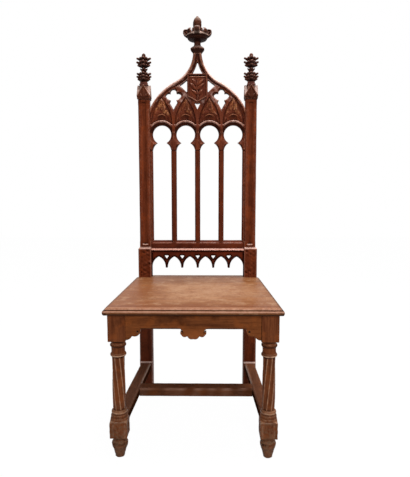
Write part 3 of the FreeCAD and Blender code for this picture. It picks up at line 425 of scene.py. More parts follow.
def flush_joint(piece):
    # The leg's block and the rail meet flush: a fine dark line, plainer on the right
    x, _, z = points_of(piece.data).T / mm
    away = np.abs(np.abs(x) - rail_joint)
    share = ramp(away, 2.16, 0.96) * (z > rail_block_low)
    line = np.where(x > 0, -0.45, -0.12)
    store(piece.data, "relief", stored(piece.data, "relief") * (1 - share) + line * share)


def leg_wear_and_highlight(spots):
    # The twisted shaft keeps its bright ridges, worn and painted with highlights, and its painted shade in
    # the hollows; the rings and blocks have less of both
    z = spots[:, 2]
    shaft = (z > shaft_low) & (z < shaft_high)
    return np.where(shaft, 0.9, np.where((z > shaft_high) & (z <= rail_block_low), 0.12, 0.3))


def bright_rings(spots):
    # A painted highlight along the foot of each ring
    across, behind, z = from_leg_axis(spots)
    out = np.hypot(across, behind)
    line = near(z, lower_ring_foot, 2.6) * (out > 20.5) * 1.25 + near(z, upper_ring_foot, 1.3) * 0.55
    line = line + near(z, base_ring_foot, 2.4) * (out > 20) * 0.9 + near(z, base_groove, 1.3) * 0.5
    return line * (0.75 + 0.3 * uneven(spots, 15, 31))


def ring_tone(spots):
    # Painted highlights across the front of the rings and on the corners of the foot block, painted shade
    # in the grooves between the rings, on the sides of the chipped ankle and in a band under the foot
    # block, deeper on the right leg
    across, behind, z = from_leg_axis(spots)
    out = np.hypot(across, behind)
    side = np.abs(across)
    front = behind < -12
    line = near(z, lower_ring_foot, 2.4) * (out > 20.5) * 0.9
    line = line + near(z, base_ring_foot - 0.5, 2.2) * (out > 20) * 0.3
    line = line + near(z, foot_block_high + 0.5, 2.4) * front * 0.35
    line = line + near(side, 17, 2.5) * near(z, 86, 20) * front * 0.16
    groove = 0.6 * np.any([near(z, upper_ring_foot + rise, 1.2) for rise in (5.5, -5.5)], axis=0)
    ankle = (z < 40) * (0.08 - 0.4 * ramp(side, 11, 20))
    deep = np.where(spots[:, 0] > 0, 0.8 * np.clip(0.9 - (across + 10) / 24, 0.1, 1), 0.5)
    shade_under_block = ramp(np.abs(z - 44), 5.6, 1.6) * deep * (side < 17) * front
    return line * (0.75 + 0.4 * uneven(spots, 13, 57)) - groove + ankle - shade_under_block


leg_oak = oak("turned_leg_oak", (0.115, 0.031, 0.011), (0.205, 0.062, 0.022), (0.5, 0.27, 0.15), "z",
              dusty=0.65, top_highlight=0.3, light=(0.62, 0.4, 0.28))
for side in ("left", "right"):
    leg = cut_piece("turned_leg_" + side, solid("front_leg_" + side), 1.05, 1, hewn_foot, 2.6)
    quiet(leg, "relief", leg_wear_and_highlight)
    bright(leg, "relief", bright_rings)
    shaded(leg, ring_tone)
    flush_joint(leg)
    fit(leg, leg_oak, "front_leg_" + side)


# Seat rails. The front one is a board sawn to brackets and a drop in the middle, with
# small drilled eyes; the side rails and the back one are plain. All are tenoned in.
def slightly_uneven(spots, normals):
    return spots + normals * (uneven(spots, 40, 5) * 0.12)[:, None]


drop_eye = (30.5, 377.5)
rail_low = box_of("side_rail_left")[0].z


def scrolled_drop(spots, normals):
    # A drilled eye in each curl of the drop
    moved = slightly_uneven(spots, normals)
    x, _, z = spots.T
    away = np.hypot(np.abs(x) - drop_eye[0], z - drop_eye[1])
    moved[:, 1] += (normals[:, 1] < -0.5) * 3.5 * ramp(away, 3.6, 2.4)
    return moved


def thin_stain(spots):
    # The stain is thin on the drop and towards the ends
    side = np.abs(spots[:, 0])
    drop = ramp(spots[:, 2], rail_low + 8, rail_low - 8) * (side < 45)
    return ramp(side, 70, 160) * 0.22 + drop * 0.5


rail_oak = oak("seat_rail_oak", (0.1, 0.028, 0.009), (0.19, 0.058, 0.018), (0.4, 0.2, 0.1), "x",
               stains=0.8)
front = cut_piece("sawn_front_rail", solid("front_rail"), 1.3, 1, scrolled_drop)
quiet(front, "relief", lambda spots: 0.5)
shaded(front, thin_stain)
flush_joint(front)
fit(front, rail_oak, "front_rail")
side_rail_oak = oak("side_rail_oak", (0.1, 0.03, 0.011), (0.17, 0.056, 0.02), (0.34, 0.18, 0.1), "y")
for side in ("left", "right"):
    rail = cut_piece("plain_side_rail_" + side, solid("side_rail_" + side), 2, 2)
    fit(rail, side_rail_oak, "side_rail_" + side)
rear = cut_piece("plain_back_rail", solid("back_seat_rail"), 2, 2)
fit(rear, rail_oak, "back_seat_rail")


# Stretchers. Two square oak bars run from the front legs to the posts, and a third
# joins them across. Their top arrises are chamfered, worn, and painted with pale highlights.
stretcher_low, stretcher_high = box_of("side_stretcher_right")
stretcher_top = stretcher_high.z
stretcher_half = 18.5
cross_low, cross_high = box_of("cross_stretcher")


def inward(spots):
    # How far a point lies inside the middle line of the slanting side stretcher
    share = (spots[:, 1] - stretcher_low.y) / (stretcher_high.y - stretcher_low.y)
    middle = (stretcher_high.x - stretcher_half) * (1 - share) + (stretcher_low.x + stretcher_half) * share
    return middle - np.abs(spots[:, 0])


def inner_arris(spots):
    # A painted highlight along the inner top arris, stronger behind the cross stretcher
    on = (inward(spots) > 14.6) & (spots[:, 2] > stretcher_top - 4.6)
    return on * np.where(spots[:, 1] > cross_high.y, 0.8, 0.3)


def inner_shade(spots):
    # Painted shade on the inner faces; a painted highlight along the top arrises, more so towards the
    # back; the left bar painted lighter
    top = spots[:, 2] > stretcher_top - 5
    back = (spots[:, 1] - stretcher_low.y) / (stretcher_high.y - stretcher_low.y)
    side = np.where(spots[:, 0] < 0, 0.16, 0.05)
    inner = inward(spots)
    worn_and_lit = near(inner, 15, 4) * top * 0.3 * ramp(back, 0.2, 0.7)
    return np.where((inner > 17) & ~top, -0.6, worn_and_lit + side)


def pale_arris_and_seat_shadow(spots):
    # The front arris is pale, and the middle of the top is painted dark with the shadow of the seat
    x, y, z = spots.T
    arris_back = cross_low.y + 5
    top = (z > stretcher_top - 2) & (y > arris_back)
    arris = (z > stretcher_top - 7) & (y < arris_back)
    middle = ramp(np.abs(x - 10), 126, 36)
    patchy = 0.5 + 0.5 * uneven(spots, 45, 51)
    return np.where(top, 0.12 - 0.35 * middle * patchy, np.where(arris, 0.8 * patchy, 0.2 * patchy))


stretcher_oak = oak("stretcher_oak", (0.1, 0.03, 0.012), (0.175, 0.058, 0.024), (0.38, 0.25, 0.19), "y",
                    top_highlight=0.05, gloss=0.0, light=(0.5, 0.27, 0.18))
for side in ("left", "right"):
    node = "side_stretcher_" + side
    bar = cut_piece("worn_" + node, solid(node), 1.7, 2, slightly_uneven)
    bright(bar, "relief", inner_arris)
    shaded(bar, inner_shade)
    fit(bar, stretcher_oak, node)
cross_oak = oak("cross_stretcher_oak", (0.095, 0.03, 0.012), (0.165, 0.054, 0.022), (0.24, 0.11, 0.07),
                "x", top_highlight=0.05, gloss=0.0, light=(0.32, 0.17, 0.115))
bar = cut_piece("worn_cross_stretcher", solid("cross_stretcher"), 1.7, 2, slightly_uneven)
shaded(bar, pale_arris_and_seat_shadow)
fit(bar, cross_oak, "cross_stretcher")


# Back posts. Each is one oak length from the floor to its cap, thicker below the
# weathering over the seat, chamfered, and with a wide shallow flute up its front.
post_axis = 195
post_front = 215
post_block_low, post_block_high = 458, 556
flute_foot_height = 574
flute_head = 1106


def leaf_under_cap(spots, normals):
    # Three small lobes stand at the head of the flute, and the block at the seat is pounced
    x, y, z = spots.T
    side = np.abs(np.abs(x) - post_axis)
    leaf = leaves(side, z, ((0, flute_head), (0, 1080), 20, 1.8, 0.6),
                  ((4, flute_head), (15, 1092), 10, 1.6, 0.6))
    low_block = ramp(z, post_block_low, post_block_low + 3) * ramp(z, post_block_high, post_block_high - 3)
    pounced = low_block * ramp(side, 19, 16) * (uneven(spots, 13, 21) * 0.8 + 0.5)
    moved = spots + normals * (uneven(spots, 60, 6) * 0.12)[:, None]
    moved[:, 1] += (pounced - leaf) * np.clip(-normals[:, 1], 0, 1) * (y < post_front)
    return moved


def flute_foot_highlight(spots):
    # The flute dies out in an oval over the weathering, painted with a highlight
    x, y, z = spots.T
    oval = np.hypot((np.abs(x) - post_axis) / 14.5, (z - flute_foot_height) / 2.8)
    return np.clip(2.2 - 2 * oval, 0, 0.9) * (y < post_front)


def post_shade(spots):
    # Painted shade on the inside faces under the seat, a darker lower right post, a dark line under the
    # foot of the flute, a painted highlight on the weathering, and a pale line of dust and painted
    # highlight over the end of the stretcher
    x, y, z = spots.T
    inside = post_axis - np.abs(x)
    low = z < 430
    line = near(z, flute_foot_height - 4.7, 1.2) & (np.abs(inside) < 14) & (y < post_front)
    dark = low * (inside > 22.5) * 0.65 + line * 0.6 + (z > 450) * (z < post_block_high) * 0.12
    dark = np.minimum(dark + low * (x > 0) * 0.25, 1)
    slope = near(z, 560, 3.8) & (y < 210)
    weak = np.where(slope, 0.25, low * (x < 0) * 0.01)
    dust_and_highlight_line = near(z, stretcher_top + 3, 3) & (y < box_of("back_post_right")[0].y + 5)
    return np.where(dust_and_highlight_line, 1, np.where(dark > 0, -dark, weak))


back_oak = oak("dark_post_oak", (0.114, 0.0225, 0.0085), (0.198, 0.0435, 0.0155), (0.3, 0.13, 0.085), "z",
               stains=0.35, pale=(0.6, 0.36, 0.28), gloss=0.02, light=(1.0, 0.72, 0.62))
for side in ("left", "right"):
    node = "back_post_" + side
    post = cut_piece("fluted_post_" + side, solid(node), 1.7, 2, leaf_under_cap, 1.6)
    quiet(post, "relief", lambda spots: np.where(spots[:, 2] > 1070, 0.4, 1))
    bright(post, "sky", flute_foot_highlight)
    shaded(post, post_shade)
    fit(post, back_oak, node)


# Seat. One wide oak board, grain from side to side, with a moulding worked round its
# front and sides. It is screwed from below and runs back between the posts.
seat_low, seat_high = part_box("seat_board")
seat_taper = -0.0414


def moulded_board():
    # The solid's own faces, each marked by its height: the underside; the top, with a painted highlight
    # round its margin;
    # the step and the rounded nose with painted highlights; the groove under the step with painted shade;
    # painted shade on the sides
    shape = solid("seat_board")
    flat = math.radians(0.6)
    bmesh.ops.dissolve_limit(shape, angle_limit=flat, verts=shape.verts, edges=shape.edges)
    top = max(shape.faces, key=lambda face: (round(face.calc_center_median().z, 4), face.calc_area()))
    bmesh.ops.inset_region(shape, faces=[top], thickness=4 * mm, use_even_offset=True)
    board = placed("moulded_seat", bpy.data.meshes.new("moulded_seat"))
    layer = shape.loops.layers.float.new("relief")
    thickness = seat_high.z - seat_low.z
    for face in shape.faces:
        middle = (face.calc_center_median().z - seat_low.z) / thickness
        for loop in face.loops:
            share = (loop.vert.co.z - seat_low.z) / thickness
            if face is top or abs(face.normal.z) > 0.99 and share < 0.5:
                loop[layer] = 0.0
            elif middle > 0.99:
                loop[layer] = 0.35 if loop.vert not in top.verts else 0.0
            elif middle > 0.81:
                loop[layer] = 0.55
            elif middle > 0.7:
                loop[layer] = -1.0
            else:
                loop[layer] = 0.9 - abs(share - 0.55) * 4.2
            if abs(face.normal.x) > 0.3 and loop[layer] > 0:
                loop[layer] = -0.35
    shape.to_mesh(board.data)
    shape.free()
    for face in board.data.polygons:
        face.use_smooth = True
    board.data.set_sharp_from_angle(angle=math.radians(38))
    return board


def seat_finish():
    wood = Finish(bpy.data.materials.new("waxed_seat_oak"))
    place = wood.node("ShaderNodeTexCoord", output="Object")
    run = wood.node("ShaderNodeMapping", {
        "Vector": place, "Scale": (0.05, 1.0, 1.0), "Rotation": (0, 0, 0.03)})
    rings = wood.noise(run, 42.0, 5.0, Distortion=1.2)
    streaks = wood.noise(run, 300.0, 3.0)
    pores = wood.noise(run, 1200.0, 2.0)
    patches = wood.noise(place, 9.0, 5.0, Roughness=0.65)
    blotch = wood.noise(place, 26.0, 6.0, Roughness=0.7)
    fine = wood.noise(place, 120.0, 4.0)
    relief = wood.mark("relief")
    x = wood.node("ShaderNodeSeparateXYZ", {0: place}, output=0)
    y = wood.node("ShaderNodeSeparateXYZ", {0: place}, output=1)
    grain = wood.step(rings * 0.6 + streaks * 0.4, 0.35, 0.65)
    pore = wood.step(pores, 0.56, 0.68)
    # Paler round the middle, from wear by sitters and a painted pool of light; redder painted shade on the
    # left and in front, and painted shade at the back
    off_x = (x - 0.03) * (x - 0.03) * 22.0
    off_y = (y + 0.03) * (y + 0.03) * 26.0
    worn_and_lit = (1 - wood.step(off_x + off_y + (patches - 0.5) * 1.1, 0.15, 1.0)).clip()
    back_shade = wood.step(y, 0.06, 0.2)
    shaded_left_and_front = (1 - wood.step(x, -0.25, -0.04) + (1 - wood.step(y, -0.26, -0.15)) * 0.8).clip()
    # Painted shade in the groove and on the sides of the moulding, and painted highlights on the step, the
    # nose and the margin of the top
    crevice = wood.step(relief * -1.0, 0.05, 0.6)
    arris = wood.step(relief + (fine - 0.5) * 0.6, 0.2, 0.8)
    # Lines along the edges: a painted highlight band and a dark line in front, dark lines at the sides
    behind = y - seat_low.y
    front_band = wood.step(behind, 0.008, 0.011) * (1 - wood.step(behind, 0.016, 0.021))
    front_line = wood.step(behind, 0.022, 0.028) * (1 - wood.step(behind, 0.038, 0.05))
    x_out = wood.node("ShaderNodeMath", {0: x}, operation="ABSOLUTE")
    side_line = 1 - wood.step(behind * seat_taper + seat_high.x - x_out, 0.0091, 0.0141)
    colour = wood.blend(grain, (0.18, 0.065, 0.022), (0.31, 0.128, 0.049))
    for share, layer in (
            (worn_and_lit * 0.62, (0.41, 0.225, 0.128)),
            (wood.step(patches, 0.44, 0.66) * 0.5, (0.19, 0.068, 0.026)),
            (wood.step(fine * 0.5 + streaks * 0.5, 0.52, 0.62) * 0.45, (0.15, 0.054, 0.021)),
            (pore * 0.35, (0.12, 0.05, 0.022)),
            (back_shade * 0.35, (0.16, 0.06, 0.024)),
            (shaded_left_and_front * 0.45, (0.2, 0.062, 0.02)),
            (wood.step(blotch, 0.5, 0.66) * 0.4, (0.43, 0.25, 0.145)),
            ((1 - wood.step(blotch, 0.34, 0.48)) * 0.45, (0.19, 0.06, 0.024)),
            (front_line * 0.5, (0.14, 0.036, 0.015)),
            (front_band * 0.3, (0.5, 0.25, 0.15)),
            (side_line * 0.65, (0.07, 0.028, 0.014)),
            (crevice * 0.9, (0.03, 0.01, 0.005)),
            (arris * 0.68, (0.66, 0.35, 0.24))):
        colour = wood.blend(share, colour, layer)
    sheen = crevice * 0.3 + 0.4 + worn_and_lit * 0.08 + (patches - 0.5) * 0.25 + pore * 0.1
    height = pore * -0.5 + streaks * 0.3 + rings * 0.6 + patches * 0.8
    bump = wood.node("ShaderNodeBump", {"Height": height, "Strength": 0.4, "Distance": 0.0006})
    return wood.coat(colour, sheen.clip(), {"Normal": bump, "Specular IOR Level": 0.06})


fit(moulded_board(), seat_finish(), "seat_board")


# Lower back rail and arcade. An oak rail with a ledge moulding along its face is
# tenoned between the posts; the thin board sawn to pointed arches hangs in its groove.
lancet_pitch = 87.5
back_rail_low, back_rail_high = (corner.z for corner in box_of("lower_back_rail"))
back_rail_middle = (back_rail_low + back_rail_high) / 2


def from_bar(spots):
    # How far a point lies to the side of the nearest bar of the back
    u = np.abs(spots[:, 0])
    return np.minimum.reduce([u, np.abs(u - lancet_pitch), np.abs(u - 2 * lancet_pitch)])


def chamfer_line(spots):
    # The lower edge of the chamfer is worn and painted with a highlight between the feet of the bars
    line = near(spots[:, 2], back_rail_high - 8.6, 1.5) & (spots[:, 1] < 220)
    return line * (from_bar(spots) > 8) * (0.8 + 0.15 * uneven(spots, 20, 33))


def arcade_tone(spots):
    # The sawn rims of the arches are dark
    rim = np.clip(stored(arcade.data, "relief"), 0, 1)[:, None]
    rim = neighbour_mean(arcade.data, rim, 3)[:, 0]
    return -np.clip(rim * 6, 0, 0.85) * (spots[:, 2] < back_rail_low - 4)


cross_back_oak = oak("dark_rail_oak", (0.08, 0.015, 0.007), (0.14, 0.03, 0.013), (0.36, 0.15, 0.1), "x",
                     rough=0.4, stains=0.4, top_highlight=0.9, lit=(0.3, 0.7), pale=(0.6, 0.29, 0.215))
rail = cut_piece("ledged_back_rail", solid("lower_back_rail"), 1.3, 1, slightly_uneven)
for name, share in (("sky", 0.35), ("relief", 0.3)):
    quiet(rail, name, lambda spots: np.where(spots[:, 2] > back_rail_middle, share, 1))
bright(rail, "relief", chamfer_line)
# The foot of the rail is painted dark: painted shade
shaded(rail, lambda spots: (spots[:, 2] < back_rail_low + 7.2) * -0.7)
fit(rail, cross_back_oak, "lower_back_rail")
arcade_oak = oak("arcade_oak", (0.105, 0.018, 0.008), (0.19, 0.036, 0.015), (0.07, 0.014, 0.007), "x",
                 stains=0.4, shade=1.0)
arcade = cut_piece("pointed_arcade", solid("arcade_valance"), 1.2, 1, slightly_uneven, 1.3)
shaded(arcade, arcade_tone)
fit(arcade, arcade_oak, "arcade_valance")


# Mullions. Three chamfered oak bars stand between the lower rail and the tracery with
# stub tenons, and a half bar is glued against each post.
head_joint = box_of("tracery_head")[0].z


def tight_joint(spots):
    # No worn and highlighted edge, and less painted shade in the crease, where a bar meets the tracery
    # flush
    return ramp(np.abs(spots[:, 2] - head_joint), 3, 5)


mullion_oak = oak("mullion_oak", (0.08, 0.0155, 0.006), (0.145, 0.029, 0.0105), (0.36, 0.14, 0.085), "z",
                  stains=0.3)
for node in ("mullion_left", "mullion_centre", "mullion_right", "back_strip_left", "back_strip_right"):
    bar = cut_piece("chamfered_" + node, solid(node), 1.3, 1, slightly_uneven)
    quiet(bar, "relief", tight_joint)
    quiet(bar, "sky", tight_joint)
    fit(bar, mullion_oak, node)


# Tracery head. Sawn, pierced and carved from one oak board: horseshoe lancets with
# raised rims, leafy panels over them, crosses, and a moulded ogee that ends in a stem.
board_thickness = 24
panel_sinking = 7
carved_face = box_of("tracery_head")[1].y - board_thickness
lancet_centre = 975
panel_springing, panel_radius, panel_arc_centre = 1010, 151.4, 111.9
eyebrow_height = 1051
flame_lobes = (
    ((-2, 1120), (12, 1052), 24, 1, 0.4), ((2, 1112), (-12, 1064), 16, 0.8, 0.5),
    ((-16, 1078), (-26, 1050), 8, 0.6, 0.5), ((12, 1070), (28, 1044), 12, 0.8, 0.5))
ridge_lobes = (
    ((-1, 1112), (14, 1060), 17, 4.0, 0.9), ((-1, 1096), (-15, 1066), 12, 1.7, 0.8),
    ((-4, 1068), (5, 1068), 8, 2.2, 0.2), ((14, 1064), (27, 1048), 9, 1.8, 0.7),
    ((-14, 1064), (-27, 1050), 9, 1.4, 0.7))


class PanelPlace:
    """Where points lie in the panel over their arch, in millimetres."""

    def __init__(self, spots):
        x, y, z = spots.T
        self.index = np.clip(np.round(x / lancet_pitch - 0.5), -2, 1)
        along = x - (self.index + 0.5) * lancet_pitch
        self.side = np.abs(along)
        self.z = z
        self.deep = y - carved_face
        # Each panel is cut a little differently by hand
        self.wander = spots + np.column_stack([self.index * 310, np.zeros_like(x), self.index * 170])
        self.sway = along + uneven(self.wander, 21, 11) * 1.6
        arc = np.sqrt(np.maximum(panel_radius ** 2 - (z - panel_springing) ** 2, 0))
        self.from_edge = arc - panel_arc_centre - self.side
        self.over_eyebrow = z - eyebrow_height + 0.03 * self.side ** 2
        self.from_lancet = np.hypot(self.side, z - lancet_centre)


def carving_tone(spots):
    # The ridges of the leaves and the eyebrows are painted with highlights; the hollows by the panel
    # edges, the corners under the eyebrows and the splays under the hoods with shade; the stem is darker
    at = PanelPlace(spots)
    sunk = (at.deep > 1.5) & (at.deep < 9) & (at.z > 1012) & (at.from_edge > 0)
    flame = leaves(at.sway, at.z, *flame_lobes)
    flecks = 0.42 + 0.5 * uneven(at.wander, 9, 41) + 0.35 * uneven(at.wander, 5, 43)
    gain = np.where(at.index == -2, 1.85, np.where(at.index == 1, 1.2, 0.6))
    eyebrow = ramp(np.abs(at.over_eyebrow), 2.56, 0.96) * (at.side < 15) * 0.3
    lights = np.clip(flame * flecks * gain, 0, 1) * (at.over_eyebrow > 3) + eyebrow
    corner = ramp(at.over_eyebrow, -3, -8) * ramp(at.side, 20, 12)
    hollow = (ramp(at.from_edge, 6.5, 0.5) + corner) * 0.5
    splay = (at.from_lancet < 47.5) & (at.z > 985) & (at.deep > 1)
    stem = -0.35 * ramp(at.z, 1195, 1215)
    return np.where(splay, -0.7, np.where(sunk, lights - hollow, stem))


def under_ogee(spots):
    # How far a point lies under the top of the ogee
    place = (np.abs(spots[:, 0]) / 2).astype(int)
    crown = np.full(place.max() + 1, -1.0)
    np.maximum.at(crown, place, spots[:, 2])
    return crown[place] - spots[:, 2]


def only_front(spots):
    return ramp(spots[:, 1] - carved_face, 10, 6)


def outer_roll(spots):
    # The top of the ogee moulding keeps its full painted highlight, more on the right, the rest much less
    z = spots[:, 2]
    ogee = (under_ogee(spots) < 11) & (z > 1030) & (z < 1235)
    rest = np.where((z < 995) & (z > head_joint), 0.3, 0.55)
    highlight = np.where(ogee, 1.5 - 0.25 * (spots[:, 0] < 0), rest)
    return highlight * (0.3 + 0.7 * only_front(spots))


def ogee_highlight(spots):
    # The whole outer roll is painted pale as a highlight where the ogee slopes
    x, _, z = spots.T
    slope = ramp(np.abs(x), 22, 36) * ramp(np.abs(x), 152, 122)
    fade = slope * ramp(under_ogee(spots), 11.5, 8.5) * only_front(spots) * (z > 1030)
    return fade * (np.where(x > 0, 0.55, 0.38) + 0.1 * uneven(spots, 30, 47))


def grey_ribs(spots):
    # A pale grey painted highlight on the faces of the ribs round the crosses
    at = PanelPlace(spots)
    grey = ramp(at.z, 1058, 1098) * (0.17 + 0.12 * uneven(spots, 19, 45))
    return (at.from_edge < 0) * (np.abs(at.deep) < 2.5) * grey


def hood_and_splay(spots):
    # The roll over each arch has a grey painted highlight, and light from the floor reaches under it, so
    # the splay keeps no painted shade
    at = PanelPlace(spots)
    roll = near(at.from_lancet, 49.75, 2.75) & (at.z > 990) & (at.deep < 1.5) & (at.over_eyebrow < -6)
    splay = (at.from_lancet < 47.5) & (at.z > 985) & near(at.deep, 7, 7)
    return np.where(roll, 0.28 + 0.07 * uneven(spots, 15, 59), splay * 0.04)


def quiet_bars(spots):
    # No hard lines on the bars that part the arches, nor round the panels
    at = PanelPlace(spots)
    seam = near(at.from_edge, 0, 3) & (at.z > 1020)
    bar = (from_bar(spots) < 7) & near(at.z, 1006, 16)
    return np.where(bar, 0.2, np.where(seam, 0.5, 1))


def panel_leaves(spots, normals):
    # Each panel is filled by a ridged and veined leaf, over a small eyebrow moulding
    at = PanelPlace(spots)
    half_round = np.sqrt(np.clip(1 - (at.over_eyebrow / 2.2) ** 2, 0, 1))
    eyebrow = 4.2 * half_round * ramp(at.side, 24, 12)
    bulge = ramp(at.from_edge, 0, 7) ** 0.6 * ramp(at.over_eyebrow, 3.4, 7.4) ** 0.5
    veins = np.cos(np.arctan2(at.sway, at.z - 1050) * 11) * ramp(at.z, 1056, 1076)
    leaf = 2.4 + 0.25 * veins + 0.6 * uneven(at.wander, 17, 13)
    ridge = leaves(at.sway, at.z, *ridge_lobes)
    total = np.maximum((leaf + ridge) * bulge, eyebrow)
    over_ground = np.abs(at.deep - panel_sinking)
    total = total * ramp(over_ground, 2.2, 1.0)
    on_ground = (over_ground < 1.2) & (normals[:, 1] < -0.6) & (at.z > 1000)
    moved = spots + normals * (uneven(spots, 45, 8) * 0.1)[:, None]
    moved[:, 1] -= on_ground * np.clip(total, 0, 6.6)
    return moved


def block(shape, centre, width, depth, low, high):
    size = Matrix.Diagonal((width * mm, depth * mm, (high - low) * mm, 1))
    place = Matrix.Translation((centre[0] * mm, centre[1] * mm, (low + high) / 2 * mm))
    return bmesh.ops.create_cube(shape, size=1, matrix=place @ size)["verts"]


def bar_head(shape, middle, low, high, proud_low, proud_high):
    # A block at the head of a bar, which stands proud by one measure at its foot and by
    # another at its top
    for vert in block(shape, (middle, carved_face + 4), 9.6, 8, low, high):
        if vert.co.y < (carved_face + 1) * mm:
            proud = proud_high if vert.co.z > (low + high) / 2 * mm else proud_low
            vert.co.y = (carved_face - proud) * mm


carved_oak = oak("carved_tracery_oak", (0.084, 0.0175, 0.009), (0.178, 0.043, 0.0195), (0.5, 0.21, 0.12),
                 "z", rough=0.38, stains=0.3, lit=(0.08, 0.6), shade=1.0, pale=(0.8, 0.54, 0.46),
                 gloss=0.02, light=(0.43, 0.17, 0.068))
shape = solid("tracery_head")
for bar in (-1, 0, 1):
    bar_head(shape, bar * lancet_pitch, 982, 1003, -1, 2.6)
    bar_head(shape, bar * lancet_pitch, 1003, 1028, 2.6, -1)
tracery = cut_piece("carved_tracery", shape, 1.56, 1, panel_leaves, 1.1)
quiet(tracery, "relief", tight_joint)
quiet(tracery, "relief", quiet_bars)
quiet(tracery, "sky", outer_roll)
for highlight in (grey_ribs, hood_and_splay, ogee_highlight):
    bright(tracery, "sky", highlight)
shaded(tracery, carving_tone)
fit(tracery, carved_oak, "tracery_head")


# Shield. A small oak escutcheon glued over the meeting of the ribs, with a raised rim
# and a plain sprig of leaves carved in its field.
def sprig(spots, normals):
    x, y, z = spots.T
    side = np.abs(x + 2.5 * np.sin(z / 9))
    leaf = leaves(side, z, ((0, 1098), (0, 1176), 7, 2.9, 0.7), ((0, 1118), (20, 1137), 12, 2.5, 0.6),
                  ((0, 1136), (26, 1160), 14, 2.7, 0.6), ((0, 1150), (22, 1176), 13, 2.6, 0.6))
    top_line = near(z, 1181.5, 1.6) * (side < 29) * 1.6
    sinking = (z > 1184) * (side < 30) * 2.0
    front = y - box_of("shield")[0].y
    on_field = (front > 1.5) & (front < 5) & (normals[:, 1] < -0.7)
    moved = spots.copy()
    moved[:, 1] -= on_field * (np.maximum(leaf, top_line) - sinking)
    return moved


shield_oak = oak("shield_oak", (0.075, 0.015, 0.008), (0.15, 0.036, 0.016), (0.4, 0.17, 0.1), "z",
                 stains=0.3, lit=(0.1, 0.7))
shield = cut_piece("carved_shield", solid("shield"), 0.9, 1, sprig, 1.2)
fit(shield, shield_oak, "shield")


# Caps. A block with four gables is pegged on each post; every face is sunk to a
# pointed arch with a small leaf in it.
head_middle = 220.75


def gable_arches(spots, normals):
    x, y, z = spots.T
    across = np.abs(np.abs(x) - post_axis)
    behind = np.abs(y - head_middle)
    front = np.abs(normals[:, 1]) > np.abs(normals[:, 0])
    u = np.where(front, across, behind)
    arch = 18.5 * np.clip(1 - (np.clip(z - 1104, 0, None) / 46) ** 1.6, 0, 1)
    sunk = ramp(arch - u, 0, 1.4)
    leaf = leaves(u, z, ((0, 1106), (0, 1144), 13, 2.4, 0.8), ((1, 1106), (14, 1124), 9, 2.2, 0.7))
    flat = (np.abs(normals[:, 2]) < 0.5) & (np.where(front, behind, across) > 22)
    return spots + normals * (flat * (leaf - 2.2 * sunk))[:, None]


def cap_tone(spots):
    # The gables are dark red, the flanks beside them painted pale as highlights, and the right cap painted
    # darker as in shade
    x, _, z = spots.T
    gable = 24 * ramp(z, 1156, 1108)
    flank = ramp(np.abs(np.abs(x) - post_axis) - gable, 0, 2) * (z > 1116)
    side = np.where(x < 0, 0, -0.28)
    return flank * (0.55 + 0.2 * uneven(spots, 11, 55)) - 0.22 * (1 - flank) + side


cap_oak = oak("cap_oak", (0.1, 0.027, 0.013), (0.19, 0.056, 0.027), (0.36, 0.18, 0.12), "z", rough=0.42,
              stains=0.3, top_highlight=0.7, lit=(0.15, 0.7), pale=(0.34, 0.22, 0.18), light=(0.4, 0.27, 0.22))
for side in ("left", "right"):
    cap = cut_piece("gabled_post_cap_" + side, solid("gabled_cap_" + side), 0.9, 2, gable_arches)
    quiet(cap, "relief", lambda spots: 0.6)
    shaded(cap, cap_tone)
    fit(cap, cap_oak, "gabled_cap_" + side)


# Post finials. Each is carved from one oak piece: a square foot, two tufts of curled
# leaves with a knob between them, and a small bud, pegged into the cap.
def spun(shape, outline, centre, steps=40):
    # A turned piece: the outline gives radius and height in millimetres, from axis to axis
    verts = [shape.verts.new(((centre[0] + r) * mm, centre[1] * mm, z * mm)) for r, z in outline]
    edges = [shape.edges.new(pair) for pair in zip(verts, verts[1:])]
    bmesh.ops.spin(shape, geom=verts + edges, cent=(centre[0] * mm, centre[1] * mm, 0), axis=(0, 0, 1),
                   angle=2 * math.pi, steps=steps, use_merge=True)
    bmesh.ops.remove_doubles(shape, verts=shape.verts, dist=mm / 50)


def leaf_tongue(shape, path, centre, turn, widths, thicks):
    # A curled leaf: flattened beads set close along a path of radius and height
    beads = 14
    spots = [Vector((r, 0, z)) for r, z in path]
    for index in range(beads):
        along = index / (beads - 1)
        share = along * (len(spots) - 1)
        low = min(int(share), len(spots) - 2)
        spot = spots[low].lerp(spots[low + 1], share - low)
        way = spots[low + 1] - spots[low]
        wide = widths[0] + (widths[1] - widths[0]) * along
        thick = thicks[0] + (thicks[1] - thicks[0]) * along
        tilt = Matrix.Rotation(-math.atan2(way.z, way.x), 4, "Y")
        size = Matrix.Diagonal((3.4, wide / 2, thick / 2, 1))
        place = Matrix.Scale(mm, 4) @ Matrix.Translation((centre[0], centre[1], 0))
        place = place @ Matrix.Rotation(turn, 4, "Z") @ Matrix.Translation(spot) @ tilt @ size
        bmesh.ops.create_icosphere(shape, subdivisions=2, radius=1, matrix=place)


